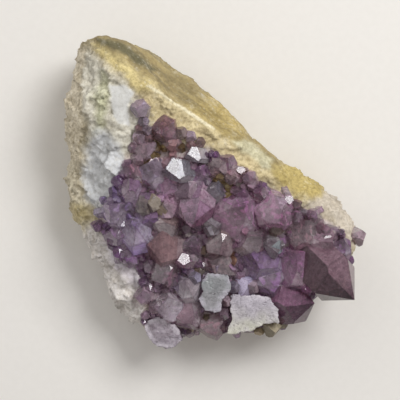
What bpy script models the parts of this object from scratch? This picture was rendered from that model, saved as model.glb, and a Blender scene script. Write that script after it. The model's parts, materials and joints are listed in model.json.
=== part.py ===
"""Amethyst cluster: a chunk of host rock, 60 mm long, with quartz crystals grown over its upper face.

+X runs along the back ridge towards the largest crystal, +Y points to the ochre side face and
+Z is up, with the rock lying on its flat underside. The origin is the middle of the bottom of the
whole piece's box. The tables below are in millimetres, and the mesh functions turn them to metres.
"""

import math
import random

import bmesh
import bpy
from mathutils import Matrix, Vector, noise
from mathutils.bvhtree import BVHTree

MM = 0.001

# The whole piece
GAP = 0.3  # clear space kept between the rock and what stands on it
TALLER_THAN_ROCK = 40.0  # height to which the uncut blocks reach
HEIGHT_BESIDE_ROCK = 9.0  # where a place beside the rock looks for the nearest stone

# Host rock: plan outline at its widest, clockwise from the left-hand end
ROCK_OUTLINE = (
    (-30.0, 14.0), (-27.4, 16.6), (-23.6, 18.2), (-18.6, 19.3), (-14.3, 19.6), (-8.4, 19.5),
    (-2.7, 19.0), (0.8, 18.3), (5.3, 17.8), (9.6, 18.6), (14.0, 18.8), (18.5, 18.4),
    (21.8, 17.5), (24.6, 15.2), (25.8, 12.4), (26.6, 9.8), (26.9, 6.8), (25.4, 3.4),
    (24.2, 0.4), (23.6, -3.0), (21.8, -5.8), (19.3, -7.4), (16.4, -10.0), (13.6, -11.6),
    (12.2, -13.8), (10.6, -16.2), (8.4, -17.2), (5.4, -17.2), (1.1, -16.6), (-1.7, -16.1),
    (-4.6, -14.3), (-8.4, -12.0), (-11.8, -10.4), (-14.8, -9.4), (-17.1, -7.1), (-19.0, -4.3),
    (-20.0, -1.7), (-22.7, 0.5), (-25.8, 5.3), (-27.7, 9.2), (-29.3, 12.2),
)
ROCK_CENTRE = (0.0, 4.0)  # every point of the outline is in sight of this one
# Loops of the flank, from the flat base up: (share of the outline, height)
FLANK_LOOPS = ((0.76, 0.0), (0.90, 1.6), (0.97, 4.4), (1.0, 7.6), (1.0, TALLER_THAN_ROCK))
# Faces that bound the rock from above: (a point on the face, the way it looks)
DRUSE_FACE = ((0.0, 0.0, 13.6), (0.17, -0.2, 1.0))
ROCK_FACES = (
    DRUSE_FACE,
    ((-10.0, 15.2, 18.4), (0.02, 0.88, 0.48)),  # ochre side face
    ((13.0, 15.0, 14.4), (0.16, 0.72, 0.68)),  # its right-hand part
    ((-19.0, 5.0, 17.0), (-0.42, -0.26, 0.87)),  # pale fracture at the left-hand end
    ((-23.0, 5.2, 15.1), (-0.72, -0.45, 0.53)),  # tan strip along the left-hand edge
    ((-6.0, -9.0, 12.4), (-0.35, -0.55, 0.76)),  # granular rim
    ((15.0, -9.5, 9.2), (0.46, -0.62, 0.63)),  # under the pale crystals
    ((24.5, 3.0, 9.4), (0.78, -0.3, 0.55)),  # right-hand end
)
ROCK_GRAIN = 1.15  # side of the cells that the cut block is rebuilt from
ROCK_DETAIL_KEPT = 0.36  # share of the triangles left after the flat parts are thinned
# Roughness of the broken rock: (wavelength, height)
ROUGHNESS = ((12.0, 1.0), (4.0, 0.5))
ROUGHNESS_SEED = Vector((3.7, 1.2, 8.4))

# Crust of intergrown quartz
CRUST_THICKNESS = 0.9
CRUST_SKIRT = 2.0  # how far the crust may reach down over the rock's edge
CRUST_OUTLINE = (
    (-7.4, 9.3), (-5.4, 11.2), (-2.0, 12.3), (3.7, 12.4), (7.3, 12.0), (10.1, 13.0),
    (14.0, 13.1), (18.2, 14.2), (21.4, 14.4), (23.2, 12.6), (25.4, 10.4), (26.4, 7.0),
    (25.0, 3.4), (23.8, 0.2), (22.6, -3.6), (19.2, -6.8), (15.4, -10.0), (12.2, -12.4),
    (11.2, -15.4), (8.8, -17.0), (5.8, -16.4), (4.2, -13.6), (2.2, -11.0), (-2.4, -9.4),
    (-6.0, -9.4), (-9.6, -7.8), (-11.3, -4.6), (-10.6, -1.2), (-11.8, 3.0), (-12.6, 6.4),
    (-10.6, 7.6),
)

# Large crystals, read one by one:
# (root x, root y, width, height above the rock, lean to x, lean to y, turn in degrees,
#  how far the minor faces of its point are set out)
LARGE_POINTS = (
    (21.65, 8.0, 7.4, 4.2, 8.15, -1.22, 21.5, 0.0),  # the largest one, at the right-hand end
    (22.0, -0.5, 6.4, 4.2, 3.2, 3.1, 14, 0.0),
    (19.6, 6.2, 6.8, 4.6, -1.4, 1.0, 5, 0.4),
    (15.0, 2.8, 5.8, 3.8, -2.7, 0.2, 32, 0.5),
    (6.8, 7.2, 8.2, 4.8, 0.2, 0.9, 28, 0.2),  # violet star in the middle of the field
    (11.4, 10.6, 6.0, 4.0, 1.6, -1.2, 52, 0.3),
    (0.5, 4.7, 4.8, 3.6, 1.6, -4.0, 22, 0.2),
    (0.9, -4.2, 6.6, 3.9, -2.6, -1.4, 33, 0.9),  # brown-mauve one with a face up
    (7.2, 1.6, 4.6, 3.2, 1.2, -1.8, 50, 0.5),
    (9.6, -1.4, 4.6, 3.0, -1.6, -0.6, 15, 0.7),
    (4.4, 2.6, 3.0, 3.2, 1.2, 0.4, 0, 0.8),
    (11.2, 4.4, 4.4, 3.4, 0.9, 1.8, 25, 0.4),
    (14.0, 6.4, 3.4, 3.2, 1.6, -0.9, 126, 0.9),
    (-4.0, 7.3, 3.9, 3.9, -2.4, -1.6, 51.6, 0.9),  # bears the brightest facet
    (-3.4, 10.6, 2.6, 2.8, -1.6, -1.0, 56, 0.8),
    (-1.6, 5.0, 4.4, 3.4, 0.6, -0.8, 55, 0.4),
    (-7.4, 4.0, 4.2, 2.9, -1.8, 0.8, 35, 0.5),
    (-10.6, 6.0, 3.6, 2.6, -0.4, 0.8, 10, 0.8),
    (-4.2, -5.2, 5.0, 3.3, -1.6, 1.6, 22, 0.3),
    (-6.4, -7.2, 3.8, 2.4, -1.4, -0.4, 48, 0.7),
    (-8.6, -4.6, 4.0, 2.4, -1.6, 0.4, 5, 0.5),
    (-1.2, -1.6, 4.6, 3.0, 1.4, 1.0, 15, 0.4),
    (3.0, -7.6, 4.4, 3.0, 1.2, -1.6, 38, 0.6),
    (8.0, -7.6, 4.6, 3.2, -1.6, 1.0, 12, 0.2),
    (6.6, -11.6, 5.4, 3.0, -1.0, -1.6, 27, 0.5),
    (10.0, -10.8, 5.4, 3.3, 1.6, -1.0, 44, 0.3),
    (17.2, 1.2, 4.6, 3.4, 1.8, -1.0, 18, 0.4),
    (17.2, 10.6, 4.8, 3.3, -1.2, 1.6, 8, 0.6),
    (20.4, 11.0, 4.8, 3.5, 1.2, 1.0, 31, 0.4),
    (14.4, -10.0, 4.0, 2.6, 1.2, -1.2, 24, 0.7),
    (21.8, -4.2, 3.8, 2.4, 1.4, -0.8, 2, 0.5),
    (5.8, -3.4, 2.1, 3.5, -2.2, -1.45, 51.6, 0.9),  # bears a small bright facet
    (4.2, -1.6, 3.8, 2.8, 0.6, 0.2, 40, 0.4),
    (14.8, -1.4, 3.8, 2.8, -0.2, 0.6, 3, 0.4),
    (2.0, 7.4, 3.8, 2.8, -0.4, 0.6, 47, 0.5),
)
# Pale crystals whose ends have broken off: (corners in plan, height of the break, slope of the
# break to x and y)
BROKEN_POINTS = (
    (((13.8, -4.1), (17.2, -1.4), (19.1, -0.6), (20.6, -1.3), (21.5, -1.6), (22.7, -3.2),
      (20.9, -5.0), (20.4, -6.0), (20.0, -7.2), (18.7, -8.2), (18.1, -9.4), (16.9, -10.1),
      (16.3, -8.7), (16.2, -7.6), (14.7, -6.2), (14.1, -5.1)), 3.0, (0.06, -0.12)),
    (((8.4, -3.6), (10.3, -2.3), (11.7, -1.8), (12.9, -2.7), (13.4, -3.4), (13.3, -4.9),
      (13.2, -5.8), (14.2, -7.3), (13.1, -8.4), (12.0, -8.9), (10.9, -8.5), (9.9, -8.0),
      (9.8, -6.5), (8.7, -5.6), (8.6, -4.6)), 3.1, (-0.05, -0.10)),
    (((5.2, -15.6), (6.4, -14.2), (7.9, -13.6), (9.6, -13.4), (11.0, -13.9), (11.9, -15.0),
      (11.9, -16.4), (10.8, -17.6), (9.4, -18.2), (7.8, -18.2), (6.2, -17.4), (5.3, -16.6)),
     2.9, (0.0, -0.15)),
)
# Crystals that stand apart on the rock: name, then the same values as a large crystal
LONE_POINTS = (
    ("crystal_far_left", -15.2, 10.8, 2.9, 2.2, -0.5, -0.3, 16, 0.4),
    ("crystal_by_the_ridge", -10.1, 10.5, 4.0, 2.8, -0.2, -0.9, 42, 0.2),
    ("crystal_at_the_right_edge", 24.3, 15.2, 2.5, 2.3, 1.4, 0.2, 21, 0.5),
)
ROOT = 1.9  # length of a crystal below the surface of the rock
BROKEN_ROOT = 2.9  # the same for the broken ones, down from the middle of their outline
BROKEN_FOOT = 0.66  # share of its outline that a broken crystal keeps at its root

# Small crystals that fill the field between the large ones
SMALL_SEED = 11
SMALL_SPACING = 2.9
SMALL_WIDTH = (2.1, 3.6)
SMALL_HEIGHT = (2.0, 2.9)
SMALL_LEAN = 0.8
KEPT_OFF_LARGE = 0.34  # share of both widths kept between two axes
KEPT_OFF_LONE = 0.62  # the same for the crystals that stand apart

# Habit of quartz: the faces of its point and of its prism
POINT_FACE_SLOPE = math.radians(51.8)
MINOR_FACE_STEP = 0.30  # furthest that the three minor faces lie out, as a share of the width
WIDTH_SPREAD = 0.20


def clear_scene():
    for thing in list(bpy.data.objects):
        bpy.data.objects.remove(thing, do_unlink=True)


def stone(name, colour, roughness, transmission=0.0):
    """Returns a Principled material of this colour."""
    material = bpy.data.materials.new(name)
    material.use_nodes = True
    shader = material.node_tree.nodes["Principled BSDF"]
    shader.inputs["Base Color"].default_value = (*colour, 1.0)
    shader.inputs["Roughness"].default_value = roughness
    shader.inputs["Metallic"].default_value = 0.0
    shader.inputs["IOR"].default_value = 1.544
    shader.inputs["Transmission Weight"].default_value = transmission
    return material


def object_from(mesh_in_mm, name, material=None):
    """Makes an object, in metres, from a bmesh whose coordinates are millimetres."""
    bmesh.ops.recalc_face_normals(mesh_in_mm, faces=mesh_in_mm.faces)
    bmesh.ops.scale(mesh_in_mm, vec=(MM, MM, MM), verts=mesh_in_mm.verts)
    mesh = bpy.data.meshes.new(name)
    mesh_in_mm.to_mesh(mesh)
    mesh_in_mm.free()
    made = bpy.data.objects.new(name, mesh)
    bpy.context.scene.collection.objects.link(made)
    if material:
        mesh.materials.append(material)
    return made


def as_helper(thing):
    """Marks an object that only shapes another one."""
    thing.hide_render = True
    thing.display_type = "WIRE"
    return thing


def apply_modifiers(thing):
    """Puts the evaluated mesh in the place of the object's own."""
    graph = bpy.context.evaluated_depsgraph_get()
    before = thing.data
    thing.data = bpy.data.meshes.new_from_object(thing.evaluated_get(graph))
    thing.modifiers.clear()
    bpy.data.meshes.remove(before)


def add_boolean(thing, operation, other):
    """Adds a Boolean with another object, or with all those of a collection.

    Its solver is MANIFOLD, because EXACT leaves open edges where so many crystals cross.
    """
    modifier = thing.modifiers.new(f"{operation.lower()} {other.name}", "BOOLEAN")
    modifier.solver = "MANIFOLD"
    modifier.operation = operation
    if isinstance(other, bpy.types.Collection):
        modifier.operand_type = "COLLECTION"
        modifier.collection = other
    else:
        modifier.object = other


def swollen_copy(thing, name, distance):
    """A helper that is the same body, grown by this distance along its normals."""
    copy = bpy.data.objects.new(name, thing.data.copy())
    bpy.context.scene.collection.objects.link(copy)
    modifier = copy.modifiers.new("grow", "DISPLACE")
    modifier.mid_level = 0.0
    modifier.strength = distance * MM
    return as_helper(copy)


def cut_away(body, point, normal):
    """Takes off what lies beyond a plane, and closes the cut."""
    everything = body.verts[:] + body.edges[:] + body.faces[:]
    found = bmesh.ops.bisect_plane(
        body, geom=everything, plane_co=point, plane_no=normal, clear_outer=True
    )
    edges = [part for part in found["geom_cut"] if isinstance(part, bmesh.types.BMEdge)]
    if edges:
        bmesh.ops.edgeloop_fill(body, edges=edges)


def stacked_loops(loops):
    """A closed body through loops of points, the lowest loop first."""
    body = bmesh.new()
    rows = [[body.verts.new(point) for point in loop] for loop in loops]
    body.faces.new(rows[0])
    body.faces.new(rows[-1])
    count = len(rows[0])
    for lower, upper in zip(rows, rows[1:]):
        for i in range(count):
            j = (i + 1) % count
            body.faces.new((lower[i], lower[j], upper[j], upper[i]))
    bmesh.ops.recalc_face_normals(body, faces=body.faces)
    return body


def height_finder(rock):
    """Returns a function that gives the rock's height, in millimetres, over a place in plan."""
    corners = [vertex.co / MM for vertex in rock.data.vertices]
    tree = BVHTree.FromPolygons(corners, [face.vertices[:] for face in rock.data.polygons])

    def height(x, y):
        found = tree.ray_cast(Vector((x, y, TALLER_THAN_ROCK)), Vector((0.0, 0.0, -1.0)))[0]
        return found.z if found else tree.find_nearest(Vector((x, y, HEIGHT_BESIDE_ROCK)))[0].z

    return height


def rough(point, normal):
    """Moves a point of the rock out or in, and leaves the flat base as it is."""
    push = 0.0
    for wavelength, height in ROUGHNESS:
        push += height * noise.noise(point / wavelength + ROUGHNESS_SEED * wavelength)
    free = min(max(point.z, 0.0) / 2.0, 1.0)
    return point + normal * push * free


def make_rock(material):
    """The host rock: a block in the outline's shape, bounded by its faces, then roughened."""
    centre = Vector(ROCK_CENTRE)
    loops = []
    for share, height in FLANK_LOOPS:
        plan = [centre + (Vector(point) - centre) * share for point in ROCK_OUTLINE]
        loops.append([(point.x, point.y, height) for point in plan])
    body = stacked_loops(loops)
    for point, normal in ROCK_FACES:
        cut_away(body, Vector(point), Vector(normal).normalized())
    rock = object_from(body, "matrix", material)
    remesh = rock.modifiers.new("even cells", "REMESH")
    remesh.mode = "VOXEL"
    remesh.voxel_size = ROCK_GRAIN * MM
    apply_modifiers(rock)
    for vertex in rock.data.vertices:
        place = vertex.co / MM
        if place.z < ROCK_GRAIN / 2:
            place.z = 0.0
        vertex.co = rough(place, vertex.normal) * MM
    thin = rock.modifiers.new("thin the flat parts", "DECIMATE")
    thin.ratio = ROCK_DETAIL_KEPT
    apply_modifiers(rock)
    return rock


def quartz_point(width, tip, root, turn, minor, chance):
    """A six-sided crystal from its root to its tip, both points in millimetres.

    It is cut from a block by its six prism faces and by the three major and three minor faces of
    its point, each a little nearer or further than its neighbours, as they grow.
    """
    axis = Vector(tip) - Vector(root)
    length = axis.length
    body = bmesh.new()
    bmesh.ops.create_cube(body, size=1.0)
    bmesh.ops.scale(body, vec=(2 * width, 2 * width, length), verts=body.verts)
    bmesh.ops.translate(body, vec=(0.0, 0.0, length / 2), verts=body.verts)
    top = Vector((0.0, 0.0, length))
    for k in range(6):
        angle = math.radians(turn + 60 * k)
        across = Vector((math.cos(angle), math.sin(angle), 0.0))
        out = width / 2 * (1 + chance.uniform(-WIDTH_SPREAD, WIDTH_SPREAD))
        cut_away(body, across * out, across)
        normal = across * math.sin(POINT_FACE_SLOPE) + Vector((0, 0, math.cos(POINT_FACE_SLOPE)))
        step = MINOR_FACE_STEP * width * minor if k % 2 else 0.0
        cut_away(body, top + normal * step, normal)
    turned = Vector((0, 0, 1)).rotation_difference(axis.normalized()).to_matrix().to_4x4()
    bmesh.ops.transform(body, matrix=Matrix.Translation(root) @ turned, verts=body.verts)
    return body


def grown_point(ground, x, y, width, height, lean_x, lean_y, turn, minor, chance):
    """A crystal with its root in the rock at a place in plan, and its tip where it leans to."""
    surface = Vector((x, y, ground(x, y)))
    tip = surface + Vector((lean_x, lean_y, height))
    root = surface - (tip - surface).normalized() * ROOT
    return quartz_point(width, tip, root, turn, minor, chance)


def broken_point(ground, outline, rise, slope):
    """An upright crystal that widens to this outline, with a flat break this far above the rock."""
    middle = sum((Vector(corner) for corner in outline), Vector((0.0, 0.0))) / len(outline)
    surface = ground(*middle)
    low, high = [], []
    for corner in outline:
        out = Vector(corner) - middle
        low.append((*(middle + out * BROKEN_FOOT), surface - BROKEN_ROOT))
        high.append((*corner, surface + rise - Vector(slope).dot(out)))
    return stacked_loops([low, high])


def inside(outline, x, y):
    """Whether a place in plan lies inside an outline."""
    found = False
    for (ax, ay), (bx, by) in zip(outline, outline[1:] + outline[:1]):
        if (ay > y) != (by > y) and x < ax + (y - ay) * (bx - ax) / (by - ay):
            found = not found
    return found


def small_places(chance):
    """Places for the small crystals: a shaken grid, less what the large crystals take."""
    taken = [(*row[:3], KEPT_OFF_LARGE) for row in LARGE_POINTS]
    taken += [(*row[1:4], KEPT_OFF_LONE) for row in LONE_POINTS]
    xs, ys = zip(*CRUST_OUTLINE)
    rows = range(math.floor(min(ys) / SMALL_SPACING), math.ceil(max(ys) / SMALL_SPACING))
    columns = range(math.floor(min(xs) / SMALL_SPACING), math.ceil(max(xs) / SMALL_SPACING))
    for row in rows:
        for column in columns:
            x = (column + 0.5 * (row % 2) + chance.uniform(-0.3, 0.3)) * SMALL_SPACING
            y = (row + chance.uniform(-0.3, 0.3)) * SMALL_SPACING
            width = chance.uniform(*SMALL_WIDTH)
            clear = all(
                math.hypot(x - tx, y - ty) > share * (width + other)
                for tx, ty, other, share in taken
            )
            broken = any(inside(outline, x, y) for outline, _, _ in BROKEN_POINTS)
            if clear and inside(CRUST_OUTLINE, x, y) and not broken:
                yield x, y, width


def make_points(ground, group):
    """All the crystals of the field, as helpers in one collection."""
    chance = random.Random(SMALL_SEED)
    bodies = [grown_point(ground, *row, chance) for row in LARGE_POINTS]
    bodies += [broken_point(ground, *row) for row in BROKEN_POINTS]
    for x, y, width in small_places(chance):
        height = chance.uniform(*SMALL_HEIGHT)
        lean_x = chance.uniform(-SMALL_LEAN, SMALL_LEAN) * height
        lean_y = chance.uniform(-SMALL_LEAN, SMALL_LEAN) * height
        turn, minor = chance.uniform(0, 60), chance.random()
        row = (x, y, width, height, lean_x, lean_y, turn, minor)
        bodies.append(grown_point(ground, *row, chance))
    for number, body in enumerate(bodies):
        point = as_helper(object_from(body, f"point_{number:03d}"))
        bpy.context.scene.collection.objects.unlink(point)
        group.objects.link(point)


def keep_largest_shell(thing):
    """Drops the small closed pockets that leaning crystals shut in between them."""
    body = bmesh.new()
    body.from_mesh(thing.data)
    left = set(body.verts)
    shells = []
    while left:
        shell, edge_of_shell = set(), {left.pop()}
        while edge_of_shell:
            vertex = edge_of_shell.pop()
            shell.add(vertex)
            left.discard(vertex)
            near = {edge.other_vert(vertex) for edge in vertex.link_edges}
            edge_of_shell |= near - shell
        shells.append(shell)
    shells.sort(key=len)
    extra = [vertex for shell in shells[:-1] for vertex in shell]
    bmesh.ops.delete(body, geom=extra, context="VERTS")
    body.to_mesh(thing.data)
    body.free()


def make_druse(rock, ground, clearance, material):
    """The field of intergrown crystals, as one body on a crust that follows the rock."""
    low = [(x, y, ground(x, y) - CRUST_SKIRT) for x, y in CRUST_OUTLINE]
    high = [(x, y, TALLER_THAN_ROCK) for x, y in CRUST_OUTLINE]
    druse = object_from(stacked_loops([low, high]), "druse", material)
    crust_top = swollen_copy(rock, "crust_top", GAP + CRUST_THICKNESS)
    group = bpy.data.collections.new("points of the druse")
    bpy.context.scene.collection.children.link(group)
    make_points(ground, group)
    add_boolean(druse, "INTERSECT", crust_top)
    add_boolean(druse, "UNION", group)
    add_boolean(druse, "DIFFERENCE", clearance)
    bpy.context.view_layer.update()
    apply_modifiers(druse)
    keep_largest_shell(druse)
    return druse


def make_lone_points(ground, clearance, material):
    """The crystals that stand apart, each one with its foot cut to the rock."""
    chance = random.Random(SMALL_SEED + 1)
    made = []
    for name, *row in LONE_POINTS:
        point = object_from(grown_point(ground, *row, chance), name, material)
        add_boolean(point, "DIFFERENCE", clearance)
        bpy.context.view_layer.update()
        apply_modifiers(point)
        keep_largest_shell(point)
        made.append(point)
    return made


def centre_over_origin(things):
    """Moves all the pieces together, so that the middle of their box's bottom is the origin."""
    corners = [vertex.co for thing in things for vertex in thing.data.vertices]
    middle = Vector(
        [(min(c[i] for c in corners) + max(c[i] for c in corners)) / 2 for i in range(2)] + [0.0]
    )
    for thing in things:
        thing.data.transform(Matrix.Translation(-middle))


def main():
    clear_scene()
    rock_material = stone("ochre_and_grey_host_rock", (0.50, 0.43, 0.30), 0.85)
    crystal_material = stone("purple_quartz", (0.19, 0.10, 0.20), 0.12, 0.6)
    rock = make_rock(rock_material)
    ground = height_finder(rock)
    clearance = swollen_copy(rock, "clearance", GAP)
    druse = make_druse(rock, ground, clearance, crystal_material)
    lone = make_lone_points(ground, clearance, crystal_material)
    centre_over_origin([rock, druse, *lone])


main()
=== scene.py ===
"""Looks of an amethyst cluster: host rock, a druse of purple quartz and three lone crystals.

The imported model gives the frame: metres, +X along the back ridge towards the largest crystal, +Y
towards the ochre side face and +Z up. The tables below were read in millimetres from a zero that
lies a little off the frame's origin, and READING_SHIFT takes one to the other.
"""

import json
import logging
import math
import random
from dataclasses import dataclass, field
from enum import Enum
from typing import Any, Callable, Iterator, Optional, Sequence

import bmesh
import bpy
import numpy as np
from mathutils import Matrix, Vector, noise
from mathutils.bvhtree import BVHTree
from mathutils.kdtree import KDTree

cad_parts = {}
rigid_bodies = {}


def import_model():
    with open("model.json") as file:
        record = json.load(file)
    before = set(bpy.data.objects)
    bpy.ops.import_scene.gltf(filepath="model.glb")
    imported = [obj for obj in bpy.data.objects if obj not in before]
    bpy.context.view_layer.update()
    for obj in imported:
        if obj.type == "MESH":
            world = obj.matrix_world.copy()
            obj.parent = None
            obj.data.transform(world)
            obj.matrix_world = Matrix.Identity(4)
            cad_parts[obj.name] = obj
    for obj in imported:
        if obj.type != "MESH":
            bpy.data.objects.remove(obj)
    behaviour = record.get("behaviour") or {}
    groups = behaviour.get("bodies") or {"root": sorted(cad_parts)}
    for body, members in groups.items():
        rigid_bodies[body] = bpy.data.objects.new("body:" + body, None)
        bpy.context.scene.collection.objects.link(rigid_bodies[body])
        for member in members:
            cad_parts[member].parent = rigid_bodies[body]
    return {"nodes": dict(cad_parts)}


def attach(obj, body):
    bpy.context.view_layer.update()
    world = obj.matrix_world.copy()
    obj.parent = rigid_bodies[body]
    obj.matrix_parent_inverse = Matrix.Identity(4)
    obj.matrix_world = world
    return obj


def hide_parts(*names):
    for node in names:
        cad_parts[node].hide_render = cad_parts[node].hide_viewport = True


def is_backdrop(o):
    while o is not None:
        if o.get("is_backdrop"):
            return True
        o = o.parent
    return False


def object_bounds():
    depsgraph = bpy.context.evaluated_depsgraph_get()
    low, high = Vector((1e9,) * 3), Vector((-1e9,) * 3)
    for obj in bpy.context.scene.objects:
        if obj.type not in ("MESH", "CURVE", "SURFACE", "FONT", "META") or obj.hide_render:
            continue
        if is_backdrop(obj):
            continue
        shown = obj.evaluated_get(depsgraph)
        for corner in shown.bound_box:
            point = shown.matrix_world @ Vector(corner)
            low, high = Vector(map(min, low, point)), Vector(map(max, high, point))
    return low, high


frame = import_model()
CAD_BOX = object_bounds()

log = logging.getLogger("amethyst cluster")

MM = 0.001
READING_SHIFT = Vector((-0.1485, -0.9345, 0.0))  # millimetres, from the tables' zero to the frame's
BOX_MARGIN = 0.01  # millimetres

Plan = Sequence[tuple[float, float]]
Colour = tuple[float, float, float]


def linear(code: str) -> Colour:
    """Turns an sRGB hex colour into linear red, green and blue.

    Args:
        code: the colour, such as "#b9b6b6".

    Returns:
        The three linear values, from 0 to 1.
    """
    parts = [int(code[i:i + 2], 16) / 255 for i in (1, 3, 5)]
    return tuple(c / 12.92 if c <= 0.04045 else ((c + 0.055) / 1.055) ** 2.4 for c in parts)


def add_node(
    tree: bpy.types.NodeTree,
    kind: str,
    settings: Optional[dict[str, Any]] = None,
    links: Optional[dict[Any, bpy.types.NodeSocket]] = None,
    **inputs: Any,
) -> bpy.types.Node:
    """Adds a node with its settings and links.

    Args:
        tree: the node tree that takes it.
        kind: the node's type, such as "ShaderNodeTexNoise".
        settings: properties of the node itself.
        links: what feeds each input socket, by the socket's name or number.
        inputs: values of input sockets, with _ for a space in the name.

    Returns:
        The new node.
    """
    node = tree.nodes.new(kind)
    for name, value in (settings or {}).items():
        setattr(node, name, value)
    for name, value in inputs.items():
        node.inputs[name.replace("_", " ")].default_value = value
    for socket, source in (links or {}).items():
        tree.links.new(source, node.inputs[socket])
    return node


def mix_colours(
    tree: bpy.types.NodeTree,
    share: Any,
    first: Any,
    second: Any,
    blend: str = "MIX",
) -> bpy.types.NodeSocket:
    """Mixes two colours, each of them a socket or a linear colour.

    Args:
        tree: the node tree.
        share: how much of the second colour, as a socket or a number.
        first: the colour below.
        second: the colour above.
        blend: the blend type.

    Returns:
        The socket with the mixed colour.
    """
    node = tree.nodes.new("ShaderNodeMix")
    node.data_type = "RGBA"
    node.blend_type = blend
    for number, value in ((0, share), (6, first), (7, second)):
        if isinstance(value, bpy.types.NodeSocket):
            tree.links.new(value, node.inputs[number])
        else:
            node.inputs[number].default_value = value if number == 0 else (*value, 1.0)
    return node.outputs[2]


def ramp_between(
    tree: bpy.types.NodeTree, value: bpy.types.NodeSocket, low: float, high: float,
    to_low: float = 0.0, to_high: float = 1.0,
) -> bpy.types.NodeSocket:
    """Maps a value's range to another one, smoothly and clamped.

    Args:
        tree: the node tree.
        value: the socket with the value.
        low: the value that gives to_low.
        high: the value that gives to_high.
        to_low: the result's start.
        to_high: the result's end.

    Returns:
        The socket with the result.
    """
    node = add_node(
        tree, "ShaderNodeMapRange", {"interpolation_type": "SMOOTHSTEP"}, {"Value": value},
        From_Min=low, From_Max=high, To_Min=to_low, To_Max=to_high,
    )
    return node.outputs["Result"]


def new_material(name: str) -> tuple[bpy.types.Material, bpy.types.NodeTree, bpy.types.Node]:
    """Makes a material with one Principled shader.

    Args:
        name: the material's name.

    Returns:
        The material, its node tree and the shader.
    """
    material = bpy.data.materials.new(name)
    material.use_nodes = True
    tree = material.node_tree
    return material, tree, tree.nodes["Principled BSDF"]


def object_from(body: bmesh.types.BMesh, name: str) -> bpy.types.Object:
    """Makes an object, still in the tables' millimetres, and frees the bmesh.

    Args:
        body: the closed body.
        name: the object's name.

    Returns:
        The object, linked to the scene.
    """
    mesh = bpy.data.meshes.new(name)
    body.to_mesh(mesh)
    body.free()
    made = bpy.data.objects.new(name, mesh)
    bpy.context.scene.collection.objects.link(made)
    return made


def settle(piece: bpy.types.Object) -> None:
    """Takes a piece's mesh from the tables' millimetres to the frame's metres."""
    piece.data.transform(Matrix.Scale(MM, 4) @ Matrix.Translation(READING_SHIFT))


def apply_modifiers(piece: bpy.types.Object) -> None:
    """Puts the evaluated mesh in the place of the object's own."""
    bpy.context.view_layer.update()
    graph = bpy.context.evaluated_depsgraph_get()
    before = piece.data
    piece.data = bpy.data.meshes.new_from_object(piece.evaluated_get(graph))
    piece.modifiers.clear()
    bpy.data.meshes.remove(before)


def distance_inside(points: np.ndarray, outline: Plan) -> np.ndarray:
    """Measures how far points lie inside an outline in plan.

    Args:
        points: plan positions, one row each, in millimetres.
        outline: the corners of the outline.

    Returns:
        The distance to the outline, negative outside it.
    """
    x, y = points[:, 0], points[:, 1]
    nearest = np.full(len(points), np.inf)
    within = np.zeros(len(points), bool)
    corners = list(outline)
    for (ax, ay), (bx, by) in zip(corners, corners[1:] + corners[:1]):
        ex, ey = bx - ax, by - ay
        along = np.clip(((x - ax) * ex + (y - ay) * ey) / (ex * ex + ey * ey), 0.0, 1.0)
        nearest = np.minimum(nearest, np.hypot(x - ax - along * ex, y - ay - along * ey))
        if ay != by:
            crosses = ((ay > y) != (by > y)) & (x < ax + (y - ay) * ex / ey)
            within ^= crosses
    return np.where(within, nearest, -nearest)


def keep_in_box(points: np.ndarray) -> np.ndarray:
    """Draws points that stand out of the CAD model's box back to its sides.

    Args:
        points: positions in the tables' millimetres.

    Returns:
        The positions, a hair inside the box.
    """
    low, high = (np.array(corner) / MM - np.array(READING_SHIFT) for corner in CAD_BOX)
    return np.clip(points, low + BOX_MARGIN, high - BOX_MARGIN)


def smooth_step(value: np.ndarray, low: float, high: float) -> np.ndarray:
    """Rises smoothly from 0 at low to 1 at high."""
    share = np.clip((value - low) / (high - low), 0.0, 1.0)
    return share * share * (3 - 2 * share)


def rough_field(points: np.ndarray, wavelength: float, octaves: int, seed: float) -> np.ndarray:
    """Reads fractal noise at points.

    Args:
        points: positions in millimetres.
        wavelength: size of the largest bumps, in millimetres.
        octaves: how many finer layers are added.
        seed: moves the pattern.

    Returns:
        One value for each point, about -1 to 1.
    """
    moved = (points / wavelength + seed).tolist()
    return np.array([noise.fractal(Vector(p), 0.9, 2.1, octaves) for p in moved])


def broken_faces(
    points: np.ndarray, spacing: float, seed: int, steepness: float
) -> tuple[np.ndarray, np.ndarray]:
    """Lays tilted planes over a surface and keeps the highest one at each place.

    Args:
        points: positions in millimetres.
        spacing: distance between the planes' seats.
        seed: the seed of the seats and tilts.
        steepness: how far the planes tilt.

    Returns:
        The height of the broken faces for each point, in millimetres, about zero, and a shade
        from -1 to 1 that each face has of its own.
    """
    chance = np.random.default_rng(seed)
    picked, taken = [], set()
    for index in chance.permutation(len(points)):
        key = tuple((points[index] // spacing).astype(int))
        if key not in taken:
            taken.add(key)
            picked.append(points[index])
    tree = KDTree(len(picked))
    for number, seat in enumerate(picked):
        tree.insert(seat, number)
    tree.balance()
    seats = np.array(picked)
    tilts = chance.normal(0.0, steepness, (len(picked), 3))
    steps = chance.uniform(-0.25, 0.25, len(picked)) * spacing * steepness
    moved = points + 0.15 * spacing * np.stack(
        [rough_field(points, spacing * 0.8, 2, seed + k * 7.3) for k in range(3)], axis=1
    )
    near = np.array([[n for _, n, _ in tree.find_n(p, 4)] for p in moved.tolist()])
    lean = np.einsum("ijk,ijk->ij", tilts[near], points[:, None, :] - seats[near])
    heights = lean + steps[near]
    shade = chance.uniform(-1.0, 1.0, len(picked))
    rows = np.arange(len(points))
    highest = heights.argmax(axis=1)
    top = heights[rows, highest]
    return top - top.mean(), shade[near[rows, highest]]


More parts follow.
